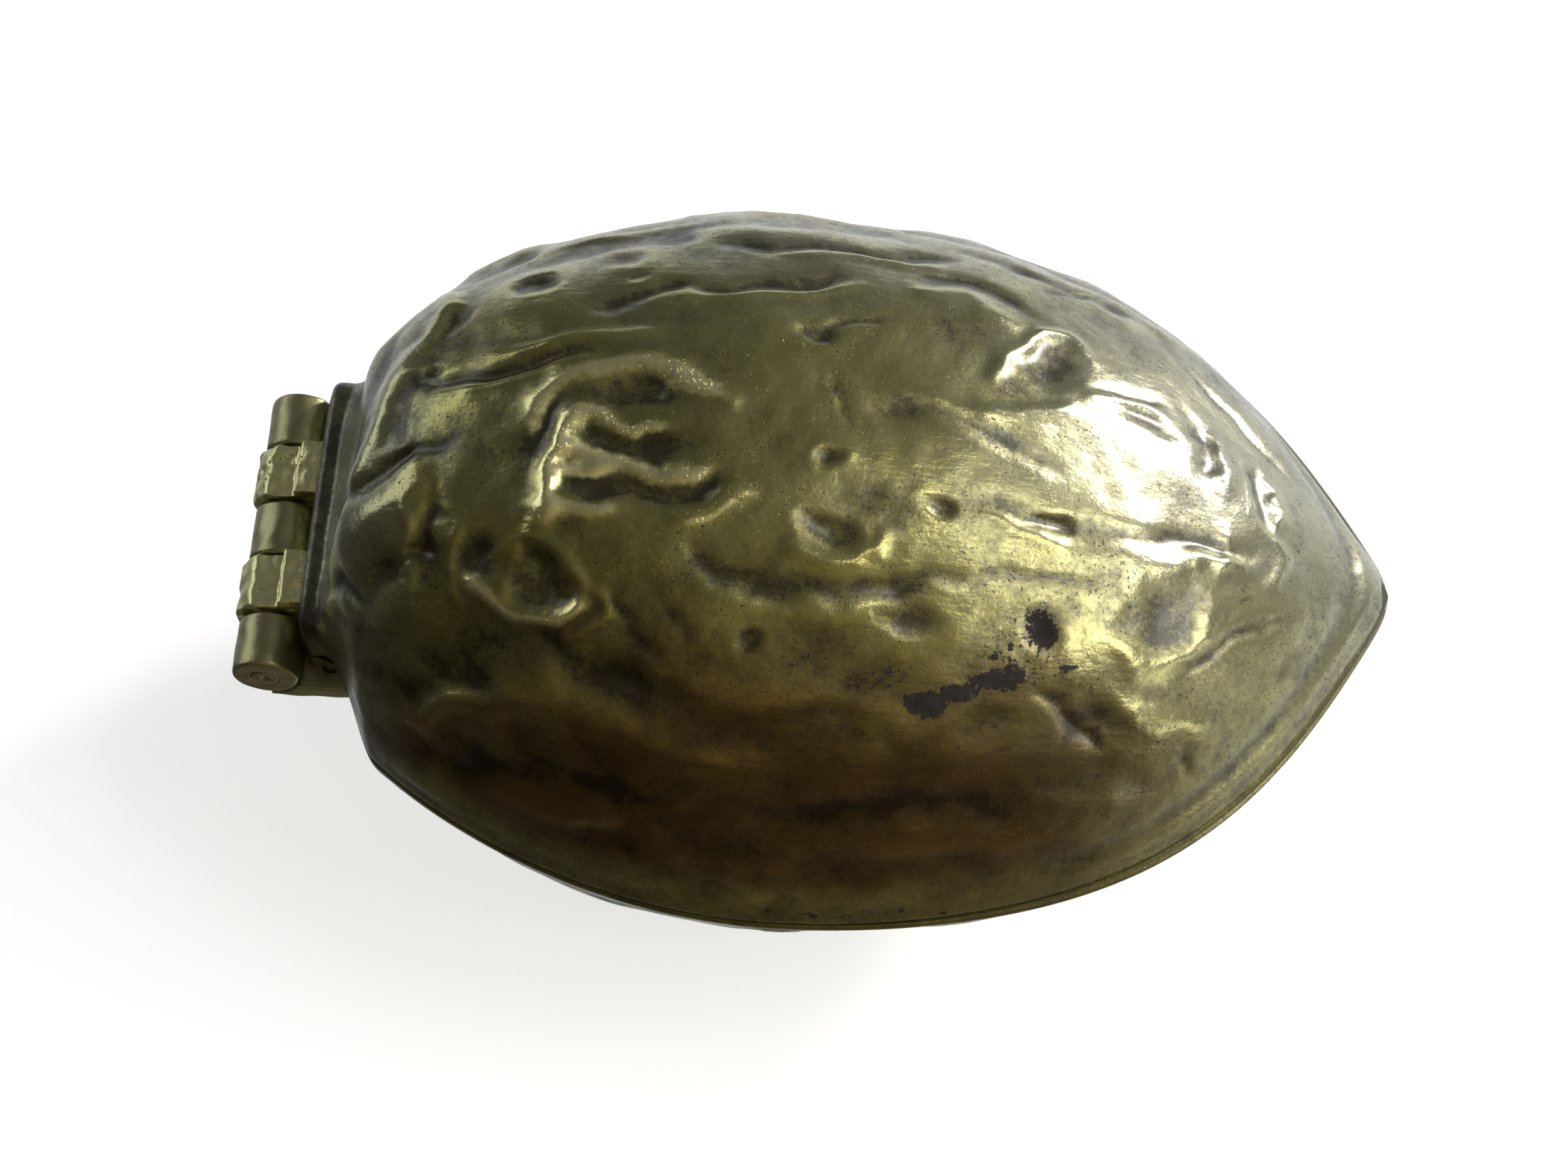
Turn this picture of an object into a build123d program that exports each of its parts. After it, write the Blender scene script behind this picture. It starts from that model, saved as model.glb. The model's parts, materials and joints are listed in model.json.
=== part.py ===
from build123d import *

import os
from math import cos, pi

# A cast brass nutcracker in the shape of a walnut. Two hollow half shells close on a flat
# joint face and turn on a five-knuckle hinge at the blunt neck. Toothed jaws inside crack
# the nut when the halves are squeezed like levers.
# Millimetres. +X runs from the hinge to the pointed tip, +Y along the hinge pin, +Z up.
# The origin is at the bottom centre of the closed nutcracker.

# ---------------------------------------------------------------- overall size
length = 114.0              # outside of the hinge straps to the pointed tip
width = 76.0                # across the rims
half_height = 31.5          # joint face to the crown of either half
resting_flat_depth = 1.5    # ground off the lower crown so that it stands still
seam = 0.2                  # open line left between the two joint faces

# ---------------------------------------------------------------- castings
wall = 3.0                  # thickness of the domed wall
rim_width = 2.2             # how far the rim stands out beyond the dome
rim_thickness = 1.7
rim_edge_radius = 0.5
tip_rim_width = 2.6         # the rim measured along X at the point
tip_wall = 7.0              # solid metal behind the point of the dome
neck_half_width = 13.0      # of the flat end behind the hinge
neck_height = 10.0           # of the flat end, above the joint face
neck_block = 7.0            # solid metal between the flat end and the hollow

# The outline falls away from its widest place as 1 - bend * t**2 - corner * t**power,
# where t runs from 0 at the widest place to 1 at the end.
widest_at = 0.45            # share of the way from the neck to the tip
plan_neck_bend = 0.52
plan_neck_power = 8
plan_tip_bend = 0.48
plan_tip_power = 5

# The crown line seen from the side follows the same rule.
highest_at = 0.36
crown_neck_bend = 0.40
crown_neck_power = 12
crown_tip_bend = 0.70
crown_tip_power = 6
station_count = 10          # cross-sections used to loft a dome

# ---------------------------------------------------------------- hinge
pin_radius = 1.4
pin_play = 0.06             # radial clearance in the straps that turn on the pin
pin_head_radius = 1.9
pin_head_height = 0.9
punch_radius = 0.5          # centre-punch dot in the plain end
punch_depth = 0.4
barrel_radius = 3.3         # round barrels of the lower half
strap_radius = 3.8          # straps of the upper half, a little larger
strap_flat_height = 3.35    # the filed top of a strap, above the pin's centre
knuckle_count = 5
knuckle_pitch = 6.16
knuckle_gap = 0.2           # between one knuckle and the next
knuckle_edge_radius = 0.45
neck_offset = 3.5           # pin's centre to the flat end of the castings
hinge_relief = 0.25         # clearance between the turning straps and the castings
tab_start = 0.9             # the raised tab on a strap begins here, from the pin's centre
tab_height = 4.6            # its top, above the pin's centre
tongue_length = 5.2         # of the leaf and straps inside the castings
tongue_low = 1.9            # near face of the tongues, from the pin's centre
leaf_thickness = 2.1
slot_play = 0.05            # clearance round the tongues in their slots
leaf_pin_radius = 1.0       # pins that lock the tongues
leaf_pin_depth = 6.5        # below the joint face

# ---------------------------------------------------------------- jaws
jaw_length = 32.0
jaw_width = 14.0
jaw_start = 17.2            # pin's centre to the near end of the jaws
jaw_seat_height = 11.0      # cast seat that a jaw is screwed to, below the inner crown
jaw_gap_narrow = 8.0        # between the teeth of the two jaws at the hinge end
jaw_thin_end = 5.0          # thickness of a jaw at its far end, over the teeth
tooth_count = 10
tooth_depth = 1.4
seat_margin = 1.0           # the cast seat is larger than the jaw by this much all round
screw_radius = 2.0
screw_head_radius = 3.4
screw_head_height = 1.5
screw_hole_play = 0.15      # clearance hole through the jaw
screw_grip = 6.5            # thread length held in the seat
screw_sink = 1.0            # head below the tooth roots
slot_width = 0.9            # driver slot
slot_depth = 0.7
screw_inset = 8.0           # from each end of a jaw

# ---------------------------------------------------------------- derived places
hinge_x = -length / 2 + strap_radius
neck_x = hinge_x + neck_offset
tip_x = length / 2
joint_z = half_height - resting_flat_depth + seam / 2
hinge_length = knuckle_count * knuckle_pitch - knuckle_gap
tongue_end = neck_x + tongue_length
tongue_high = tongue_low + leaf_thickness
leaf_pin_x = neck_x + tongue_length / 2
jaw_x = hinge_x + jaw_start
jaw_base = half_height - wall - jaw_seat_height
jaw_slope = (jaw_base - jaw_thin_end - jaw_gap_narrow / 2) / jaw_length


def knuckle_y(number):
    """Middle of a knuckle; number 0 is at the far, +Y end."""
    return ((knuckle_count - 1) / 2 - number) * knuckle_pitch


def swell(x, neck, tip, peak, neck_end, neck_shape, tip_shape):
    """Share of the full size at x: 1 at the peak, neck_end at the neck, 0 at the tip."""
    peak_x = neck + peak * (tip - neck)
    if x < peak_x:
        reach = (peak_x - x) / (peak_x - neck)
        bend, power = neck_shape
        corner = 1 - bend - neck_end
    else:
        reach = (x - peak_x) / (tip - peak_x)
        bend, power = tip_shape
        corner = 1 - bend
    return 1 - bend * reach**2 - corner * reach**power


def plan_half_width(x, neck, tip, half_width, neck_half):
    """Half width of an outline at x."""
    neck_shape = (plan_neck_bend, plan_neck_power)
    tip_shape = (plan_tip_bend, plan_tip_power)
    share = swell(x, neck, tip, widest_at, neck_half / half_width, neck_shape, tip_shape)
    return half_width * share


def crown_height(x, neck, tip, height, neck_end):
    """Height of a dome above the joint face at x."""
    neck_shape = (crown_neck_bend, crown_neck_power)
    tip_shape = (crown_tip_bend, crown_tip_power)
    share = swell(x, neck, tip, highest_at, neck_end / height, neck_shape, tip_shape)
    return height * share


def stations(neck, tip):
    """Places along X, closer together at both ends, without the tip itself."""
    steps = [(1 - cos(pi * i / station_count)) / 2 for i in range(station_count)]
    return [neck + step * (tip - neck) for step in steps]


def walnut(neck, tip, half_width, neck_half, height, neck_end):
    """Whole solid walnut about the joint face: elliptic sections lofted to the tip."""
    sections = []
    for x in stations(neck, tip):
        across = plan_half_width(x, neck, tip, half_width, neck_half)
        up = crown_height(x, neck, tip, height, neck_end)
        place = Plane(origin=(x, 0, 0), x_dir=(0, 1, 0), z_dir=(1, 0, 0))
        sections.append(place * Ellipse(across, up))
    return loft(sections + [Vertex(tip, 0, 0)])


def rim():
    """Flat flange round the joint face, rounded on its outer edge."""
    places = stations(neck_x, tip_x)
    one_side = [(x, plan_half_width(x, neck_x, tip_x, width / 2, neck_half_width)) for x in places]
    point = (tip_x, 0)
    left = Spline(*one_side, point)
    right = Spline(*[(x, -y) for x, y in one_side], point)
    end = Line(left @ 0, right @ 0)
    plate = extrude(make_face([left, right, end]), rim_thickness)
    outer_edges = plate.edges().group_by(Axis.Z)[-1]
    return fillet(outer_edges, rim_edge_radius)


def block(x0, x1, y_middle, y_size, z0, z1):
    """Box given by its ends along X and Z and its middle and size along Y."""
    box = Box(x1 - x0, y_size, z1 - z0)
    return Pos((x0 + x1) / 2, y_middle, (z0 + z1) / 2) * box


def rod_along_y(radius, rod_length, y_middle=0.0):
    """Round bar centred on the hinge line, in hinge coordinates."""
    return Pos(0, y_middle, 0) * Rot(90, 0, 0) * Cylinder(radius, rod_length)


def jaw_screw_places():
    """X of the two screws of a jaw."""
    return [jaw_x + screw_inset, jaw_x + jaw_length - screw_inset]


def locking_pin(y):
    """Pin driven through a tongue from the joint face, in casting coordinates."""
    return Pos(leaf_pin_x, y, leaf_pin_depth / 2) * Cylinder(leaf_pin_radius, leaf_pin_depth)


def tongue_hole(y):
    """Hole for a locking pin, in hinge coordinates."""
    return Pos(leaf_pin_x - hinge_x, y, 0) * Cylinder(leaf_pin_radius, 4 * tongue_high)


def casting(slot_list, locked_at):
    """One half in casting coordinates: joint face at z 0, dome upwards, seat for a jaw."""
    outer_half = width / 2 - rim_width
    dome_tip = tip_x - tip_rim_width
    dome_neck_half = neck_half_width - rim_width / 2
    shape = walnut(neck_x, dome_tip, outer_half, dome_neck_half, half_height, neck_height)
    hollow_neck = neck_x + neck_block
    hollow_neck_half = neck_half_width - wall / 2
    hollow = walnut(
        hollow_neck,
        dome_tip - tip_wall,
        outer_half - wall,
        hollow_neck_half,
        half_height - wall,
        neck_height,
    )
    seat_box = block(
        jaw_x - seat_margin,
        jaw_x + jaw_length + seat_margin,
        0,
        jaw_width + 2 * seat_margin,
        jaw_base,
        half_height,
    )
    body = shape + rim() - hollow + (seat_box & shape)
    body = split(body, bisect_by=Plane.XY, keep=Keep.TOP)
    groove = rod_along_y(strap_radius + hinge_relief, hinge_length + 2 * knuckle_gap)
    body -= Pos(hinge_x, 0, -seam / 2) * groove
    for y_middle, y_size in slot_list:
        body -= block(
            hinge_x,
            tongue_end + slot_play,
            y_middle,
            y_size + 2 * slot_play,
            tongue_low - seam / 2 - slot_play,
            tongue_high - seam / 2 + slot_play,
        )
    for y in locked_at:
        body -= locking_pin(y)
    for x in jaw_screw_places():
        body -= Pos(x, 0, jaw_base + screw_grip / 2) * Cylinder(screw_radius, screw_grip)
    return body


def knuckle(radius, bore):
    """Tube with rounded ends, centred on the hinge line."""
    tube = rod_along_y(radius, knuckle_pitch - knuckle_gap)
    tube = fillet(tube.edges().filter_by(GeomType.CIRCLE), knuckle_edge_radius)
    return tube - rod_along_y(bore, knuckle_pitch)


def lower_leaf():
    """Plate under the barrels: three fingers joined by a web let into the lower casting."""
    low = -tongue_high
    high = -tongue_low
    leaf = block(neck_offset, neck_offset + tongue_length, 0, hinge_length, low, high)
    for number in range(0, knuckle_count, 2):
        size = knuckle_pitch - knuckle_gap
        leaf += block(0, neck_offset, knuckle_y(number), size, low, high)
        leaf -= tongue_hole(knuckle_y(number))
    for number in range(1, knuckle_count, 2):
        zone = knuckle_pitch + knuckle_gap
        leaf -= rod_along_y(strap_radius + hinge_relief, zone, knuckle_y(number))
    leaf -= rod_along_y(barrel_radius, hinge_length + knuckle_gap)
    return leaf


def strap():
    """Knuckle of the upper half with its filed top, raised tab and locking tongue."""
    size = knuckle_pitch - knuckle_gap
    body = rod_along_y(strap_radius, size)
    body = fillet(body.edges().filter_by(GeomType.CIRCLE), knuckle_edge_radius)
    body -= block(-strap_radius, strap_radius, 0, size, strap_flat_height, strap_radius)
    tab = block(tab_start, neck_offset, 0, size, seam, tab_height)
    top_corners = tab.edges().filter_by(Axis.Y).group_by(Axis.Z)[-1]
    body += fillet(top_corners.sort_by(Axis.X)[0], knuckle_edge_radius)
    body += block(neck_offset / 2, neck_offset + tongue_length, 0, size, tongue_low, tongue_high)
    body -= tongue_hole(0)
    return body - rod_along_y(pin_radius + pin_play, knuckle_pitch)


def hinge_pin():
    """Plain pin with a peened dome at the far end and a punch dot at the near end."""
    shank = rod_along_y(pin_radius, hinge_length)
    end_y = hinge_length / 2
    ball = Sphere(pin_head_radius)
    squash = pin_head_height / pin_head_radius
    head = scale(ball, by=(1, squash, 1))
    keep = block(-pin_head_radius, pin_head_radius, pin_head_height / 2, pin_head_height,
                 -pin_head_radius, pin_head_radius)
    head = Pos(0, end_y, 0) * (head & keep)
    dot = Pos(0, -end_y + punch_depth / 2, 0) * Rot(90, 0, 0) * Cone(0.01, punch_radius, punch_depth)
    return shank + head - dot


def jaw():
    """Toothed wedge in casting coordinates: seated at jaw_base, teeth towards the joint."""
    pitch = jaw_length / tooth_count
    outline = [(jaw_x, jaw_base), (jaw_x, jaw_gap_narrow / 2)]
    for i in range(tooth_count):
        root_x = jaw_x + (i + 0.5) * pitch
        crest_x = jaw_x + (i + 1) * pitch
        root_z = jaw_gap_narrow / 2 + (root_x - jaw_x) * jaw_slope + tooth_depth
        crest_z = jaw_gap_narrow / 2 + (crest_x - jaw_x) * jaw_slope
        outline.append((root_x, root_z))
        outline.append((crest_x, crest_z))
    outline.append((jaw_x + jaw_length, jaw_base))
    side = Plane.XZ * make_face(Polyline(*outline, close=True))
    body = extrude(side, jaw_width / 2, both=True)
    for x in jaw_screw_places():
        top = jaw_head_face(x)
        body -= Pos(x, 0, jaw_base / 2) * Cylinder(screw_radius + screw_hole_play, jaw_base)
        body -= Pos(x, 0, top / 2) * Cylinder(screw_head_radius + screw_hole_play, top)
        sink = Cone(screw_head_radius + screw_hole_play, screw_radius + screw_hole_play,
                    screw_head_height)
        body -= Pos(x, 0, top + screw_head_height / 2) * sink
    return body


def jaw_head_face(x):
    """Height of a screw head's face above the joint face."""
    return jaw_gap_narrow / 2 + (x - jaw_x) * jaw_slope + tooth_depth + screw_sink


def jaw_screw(x):
    """Countersunk slotted screw in casting coordinates, head towards the joint face."""
    top = jaw_head_face(x)
    end = jaw_base + screw_grip
    head = Pos(x, 0, top + screw_head_height / 2)
    head = head * Cone(screw_head_radius, screw_radius, screw_head_height)
    shank = Pos(x, 0, (top + end) / 2) * Cylinder(screw_radius, end - top)
    slot = block(x - screw_head_radius, x + screw_head_radius, 0, slot_width, 0, top + slot_depth)
    return head + shank - slot


def raised(shape):
    """Places a casting-side piece in the upper half."""
    return Pos(0, 0, joint_z + seam / 2) * shape


def lowered(shape):
    """Turns a casting-side piece over into the lower half."""
    return Pos(0, 0, joint_z - seam / 2) * mirror(shape, about=Plane.XY)


def on_hinge(shape, number=None):
    """Places a hinge piece on the pin's line, at a knuckle if a number is given."""
    y = 0 if number is None else knuckle_y(number)
    return Pos(hinge_x, y, joint_z) * shape


def model():
    """Every piece of the nutcracker by name."""
    place_names = ["far", "far", "middle", "near", "near"]
    barrels = range(0, knuckle_count, 2)
    straps = range(1, knuckle_count, 2)
    strap_slots = [(knuckle_y(n), knuckle_pitch - knuckle_gap) for n in straps]
    upper = casting(strap_slots, [knuckle_y(n) for n in straps])
    lower = casting([(0, hinge_length)], [knuckle_y(n) for n in barrels])
    grind = block(-length, length, 0, 2 * width, -half_height, 0)
    pieces = {
        "upper_shell": raised(upper),
        "lower_shell": lowered(lower) - grind,
        "lower_hinge_leaf": on_hinge(lower_leaf()),
        "hinge_pin": on_hinge(hinge_pin()),
        "upper_jaw": raised(jaw()),
        "lower_jaw": lowered(jaw()),
    }
    for number in barrels:
        where = place_names[number]
        pieces["hinge_barrel_" + where] = on_hinge(knuckle(barrel_radius, pin_radius), number)
        pieces["leaf_pin_" + where] = lowered(locking_pin(knuckle_y(number)))
    for number in straps:
        where = place_names[number]
        pieces["upper_hinge_strap_" + where] = on_hinge(strap(), number)
        pieces["strap_pin_" + where] = raised(locking_pin(knuckle_y(number)))
    for x, where in zip(jaw_screw_places(), ["rear", "front"]):
        pieces["upper_jaw_screw_" + where] = raised(jaw_screw(x))
        pieces["lower_jaw_screw_" + where] = lowered(jaw_screw(x))
    return pieces


os.makedirs("parts", exist_ok=True)
for name, piece in model().items():
    export_step(piece, "parts/" + name + ".step")
    print(name, "volume", round(piece.volume, 1))
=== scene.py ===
# %% [markdown]
# # A walnut-shaped nutcracker in cast brass
# The real thing is two hollow half walnuts, cast in brass and joined by a
# five-knuckle hinge at the blunt end. Toothed jaws sit inside. Years of hands
# have polished the high spots and left dark patina in every hollow.
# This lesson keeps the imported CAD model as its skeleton: every Blender piece is
# placed from the CAD boxes and rides on a CAD body.

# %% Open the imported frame
import json
import math
import bmesh
import bpy
import numpy as np
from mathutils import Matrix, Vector


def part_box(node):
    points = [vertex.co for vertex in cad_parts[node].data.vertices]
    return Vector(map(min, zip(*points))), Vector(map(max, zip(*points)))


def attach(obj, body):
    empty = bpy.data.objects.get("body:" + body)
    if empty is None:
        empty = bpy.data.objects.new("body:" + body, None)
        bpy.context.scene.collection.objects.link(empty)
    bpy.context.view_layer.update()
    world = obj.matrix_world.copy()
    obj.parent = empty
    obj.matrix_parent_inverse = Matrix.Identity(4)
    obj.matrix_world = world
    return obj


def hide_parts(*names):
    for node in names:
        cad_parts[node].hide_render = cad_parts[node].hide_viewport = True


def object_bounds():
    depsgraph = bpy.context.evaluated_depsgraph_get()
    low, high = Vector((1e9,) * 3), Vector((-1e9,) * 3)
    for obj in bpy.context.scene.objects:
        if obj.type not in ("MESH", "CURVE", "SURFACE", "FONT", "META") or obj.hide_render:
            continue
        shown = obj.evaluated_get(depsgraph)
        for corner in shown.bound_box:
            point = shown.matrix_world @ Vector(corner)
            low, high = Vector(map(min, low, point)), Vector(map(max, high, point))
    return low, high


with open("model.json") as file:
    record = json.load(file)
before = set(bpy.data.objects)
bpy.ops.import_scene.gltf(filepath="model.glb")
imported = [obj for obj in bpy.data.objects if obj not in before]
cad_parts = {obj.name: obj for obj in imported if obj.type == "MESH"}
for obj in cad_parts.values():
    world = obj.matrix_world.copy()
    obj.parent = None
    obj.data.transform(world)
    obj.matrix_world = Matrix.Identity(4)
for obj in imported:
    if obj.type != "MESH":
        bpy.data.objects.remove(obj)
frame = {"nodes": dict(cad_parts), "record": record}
cad_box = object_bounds()
MM = 0.001
joint = frame["record"]["behaviour"]["joints"][0]
hinge_x, joint_z = joint["pos_m"][0] / MM, joint["pos_m"][2] / MM
upper_low, upper_high = (np.array(corner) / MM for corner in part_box("upper_shell"))
neck_x, tip_x = upper_low[0], upper_high[0]
rim_half_width = upper_high[1]
crown = upper_high[2] - joint_z
print("hinge at", round(hinge_x, 2), "joint face at", round(joint_z, 2),
      "shell", round(neck_x, 2), "to", round(tip_x, 2), "crown", round(crown, 2))

# %% [markdown]
# ## Small tools for arrays
# A casting like this was modelled in wax with fingers and knives. The same can
# be done with numbers: a grid of points, and a height added along each normal.
# NumPy moves a hundred thousand points at once, so the whole sculpture takes a
# few seconds and always comes out the same.

# %% Easing, soft noise and mesh making
def ease(value, start, end):
    """0 before start, 1 after end, and a smooth change between."""
    share = np.clip((value - start) / (end - start), 0, 1)
    return share * share * (3 - 2 * share)


def soft_noise(points, size, seed, waves=48):
    """A smooth random field of about -1 to 1, with lumps of roughly that size."""
    random = np.random.default_rng(seed)
    total = np.zeros(points.shape[:-1])
    for _ in range(waves):
        direction = random.normal(size=3)
        direction /= np.linalg.norm(direction)
        wavelength = size * random.uniform(1.3, 3.0)
        phase = random.uniform(0, 2 * math.pi)
        total += np.sin(points @ direction * (2 * math.pi / wavelength) + phase)
    return total / math.sqrt(waves)


def new_piece(name, points, faces):
    """A mesh object from points in millimetres, with faces turned outwards."""
    mesh = bpy.data.meshes.new(name)
    mesh.from_pydata((np.asarray(points) * MM).tolist(), [], faces)
    shape = bmesh.new()
    shape.from_mesh(mesh)
    bmesh.ops.recalc_face_normals(shape, faces=shape.faces)
    shape.to_mesh(mesh)
    shape.free()
    piece = bpy.data.objects.new(name, mesh)
    bpy.context.scene.collection.objects.link(piece)
    return piece


def smooth_piece(piece, angle=40):
    """Smooth shading, with an edge kept crisp where it turns by more than angle."""
    piece.data.polygons.foreach_set("use_smooth", [True] * len(piece.data.polygons))
    piece.data.set_sharp_from_angle(angle=math.radians(angle))


def install(piece, body, slot, *nodes):
    """Puts a piece on its CAD body and hides its CAD nodes; slot is not used."""
    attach(piece, body)
    if nodes:
        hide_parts(*nodes)
    print(piece.name, "has", len(piece.data.polygons), "faces and rides on", body)


# %% [markdown]
# ## The outline of a walnut
# Seen from above the shell is widest a little towards the hinge and runs to a
# blunt point. Seen from the side its crown is nearer the hinge still. Both lines
# are one formula: 1 at the widest place, falling by a gentle bend and a late
# corner. The CAD uses the same formula, so this skin lies on that casting
# everywhere but at the collar, which is lower here.

# %% The two curves and the sections between them
PLAN = dict(peak=0.45, neck_shape=(0.52, 8), tip_shape=(0.48, 5))
CROWN = dict(peak=0.36, neck_shape=(0.40, 12), tip_shape=(0.70, 6))
point_radius = 5.5              # the cast point is blunt, not sharp
point_reach = 2.6


def swell(x, neck, tip, middle, end, peak, neck_shape, tip_shape):
    """Half-width or height of the walnut at each x, in millimetres."""
    peak_x = neck + peak * (tip - neck)
    before = np.clip((peak_x - x) / (peak_x - neck), 0, 1)
    after = np.clip((x - peak_x) / (tip - peak_x), 0, 1)
    bend, power = neck_shape
    corner = 1 - bend - end / middle
    value = 1 - bend * before ** 2 - corner * before ** power
    bend, power = tip_shape
    value = value - bend * after ** 2 - (1 - bend) * after ** power
    to_tip = np.clip(tip - x, 0, None)
    rounding = 2 * point_radius * to_tip * np.exp(-to_tip / point_reach)
    return np.sqrt(np.clip(value * middle, 0, None) ** 2 + rounding)


rim_width = 2.2                 # how far the flat rim stands out from the dome
tip_rim_width = 2.6
wall = 3.0
end_wall = 7.0                  # solid metal at the neck and at the tip
dome_tip_x = tip_x - tip_rim_width
dome_half_width = rim_half_width - rim_width
hollow_neck_x = neck_x + end_wall
hollow_tip_x = dome_tip_x - end_wall
print("dome half width", round(dome_half_width, 2), "hollow from", round(hollow_neck_x, 2),
      "to", round(hollow_tip_x, 2))

# %% [markdown]
# ## The grid of the skin
# Stations run from the neck to the tip, and angles from the near rim over the
# crown to the far rim. The rows are packed close together at the rims, where a
# rounded lip and a fillet have to fit in three millimetres.

# %% Stations and angles
station_count = 300
cap_rings = 7
even = np.linspace(0, 1, station_count + 1)[:-1]
stations = 0.62 * even + 0.38 * (0.5 - 0.5 * np.cos(math.pi * even))
lip_rows = np.array([0, 0.22, 0.45, 0.75, 1.1, 1.6, 2.2, 2.9, 3.7, 4.6, 5.6])
middle_rows = np.linspace(6.4, 173.6, 232)
angles = np.concatenate([lip_rows, middle_rows, 180 - lip_rows[::-1]])
inner_angles = np.linspace(0, 180, 41)
print(station_count, "stations,", len(angles), "rows outside,", len(inner_angles), "inside")

# %% [markdown]
# ## The outside before anything is sculpted
# The hinge is let into a squared collar at the neck, and the dome rises behind
# it. At the joint face the skin flares out to a narrow rim. The upper rim is a
# little smaller than the lower one, as two castings never match exactly.

# %% The smooth outside of a half
neck_half = 14.6                # half the width of the squared collar
collar_shift = 1.8              # the collar sits a little to the far side of the hinge
collar_height = 6.6
collar_edge = 0.9               # radius where the collar turns to its end face
dome_neck_height = 9.0          # the dome's own height at the neck, under the collar
sculpt_depth = 0.35             # the smooth crown is this much under the finished one
upper_rim_inset = 0.6


def outside(rim_inset, height):
    """Points of the outside as x, y and height over the joint face, and x of each."""
    dome_x = neck_x + stations * (dome_tip_x - neck_x)
    rim_x = neck_x + stations * (tip_x - rim_inset - neck_x)
    dome_y = swell(dome_x, neck_x, dome_tip_x, dome_half_width, neck_half, **PLAN)
    side_inset = rim_inset * (0.35 + 0.65 * ease(rim_x, 0, 35))
    rim_y = swell(rim_x, neck_x, tip_x - rim_inset, rim_half_width, neck_half,
                  **PLAN) - side_inset * ease(tip_x - rim_inset - rim_x, 0, 4)
    from_neck = dome_x - neck_x
    top = swell(dome_x, neck_x, dome_tip_x, height, dome_neck_height, **CROWN)
    far_waist = 1 - ease(from_neck, 1.6, 11.0)
    near_waist = 1 - ease(from_neck, 1.6, 8.0)
    behind = ease(from_neck, 1.7, 7.0)
    top = collar_height * (1 - behind) + top * behind
    short_of_edge = np.clip(collar_edge - from_neck, 0, collar_edge)
    inset = collar_edge - np.sqrt(collar_edge ** 2 - short_of_edge ** 2)
    top = top - inset
    square = 1 - 0.62 * (1 - ease(from_neck, 1.5, 7.0))
    turn = np.radians(angles)[None, :]
    across = np.sign(np.cos(turn)) * np.abs(np.cos(turn)) ** square[:, None]
    up = np.sin(turn) ** square[:, None]
    rise = top[:, None] * up
    far = ease(-across, -0.35, 0.35)
    waist = far * far_waist[:, None] + (1 - far) * near_waist[:, None]
    collar = neck_half + collar_shift * (2 * far - 1)
    dome_y = collar * waist + dome_y[:, None] * (1 - waist) - inset[:, None]
    rim_y = (collar - side_inset[:, None]) * waist + rim_y[:, None] * (1 - waist)
    rim_y = rim_y - inset[:, None]
    flare = 5.5 - 2.2 * ease(dome_x, 25, 48)[:, None]
    stand_out = np.exp(-(np.clip(rise - 0.6, 0, None) / flare) ** 1.15)
    stand_out = stand_out - 0.12 * np.clip(1 - rise / 0.4, 0, 1) ** 2
    x = dome_x[:, None] + stand_out * (rim_x - dome_x)[:, None]
    y = -dome_y * across
    y = y - np.sign(across) * stand_out * (rim_y - dome_y) * np.abs(across) ** 0.5
    per_degree = np.radians(1) * np.sqrt((dome_y * np.sin(turn)) ** 2
                                         + (top[:, None] * np.cos(turn)) ** 2)
    return np.stack([x, y, rise], axis=-1), dome_x[:, None] + 0 * y, per_degree


grid = outside(upper_rim_inset, crown - sculpt_depth)[0]
print("unsculpted outside", np.round(grid.min((0, 1)), 2), np.round(grid.max((0, 1)), 2))


# %% [markdown]
# ## Sculpting tools
# The maker pushed a tool through soft wax: lines that are ridges or grooves, and
# dimples with a raised lip. Each mark here is a place along the shell in
# millimetres and an angle over it in degrees, with 90 at the crown. A stroke is
# strongest in its middle and fades at its ends, like a finger lifting off.

# %% Strokes and dimples
press, spread = 0.85, 1.30      # how hard and how wide the tool was used


def stroke(relief, x, angle, per_degree, height, width, points, fade=0.18):
    """Adds a ridge, or a groove if height is negative, along a line of points."""
    points = np.array(points, float)
    height, width = height * press, width * spread
    reach = 3.2 * width
    scale = np.median(per_degree)
    near = ((x > points[:, 0].min() - reach) & (x < points[:, 0].max() + reach)
            & (angle > points[:, 1].min() - reach / scale * 1.4)
            & (angle < points[:, 1].max() + reach / scale * 1.4))
    px, pa, pd = x[near], angle[near], per_degree[near]
    steps = np.hypot(np.diff(points[:, 0]), np.diff(points[:, 1]) * scale)
    total = steps.sum()
    best = np.full(px.shape, 1e9)
    along = np.zeros(px.shape)
    walked = 0
    for (x0, a0), (x1, a1), step in zip(points, points[1:], steps):
        dx, da = x1 - x0, (a1 - a0) * pd
        share = ((px - x0) * dx + (pa - a0) * pd * da) / (dx ** 2 + da ** 2 + 1e-9)
        share = np.clip(share, 0, 1)
        distance = np.hypot(px - x0 - share * dx, (pa - a0) * pd - share * da)
        closer = distance < best
        best = np.where(closer, distance, best)
        along = np.where(closer, (walked + share * step) / total, along)
        walked += step
    strength = ease(along, -fade, fade) * (1 - ease(along, 1 - fade, 1 + fade))
    relief[near] += height * strength * np.exp(-(best / width) ** 2)


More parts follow.
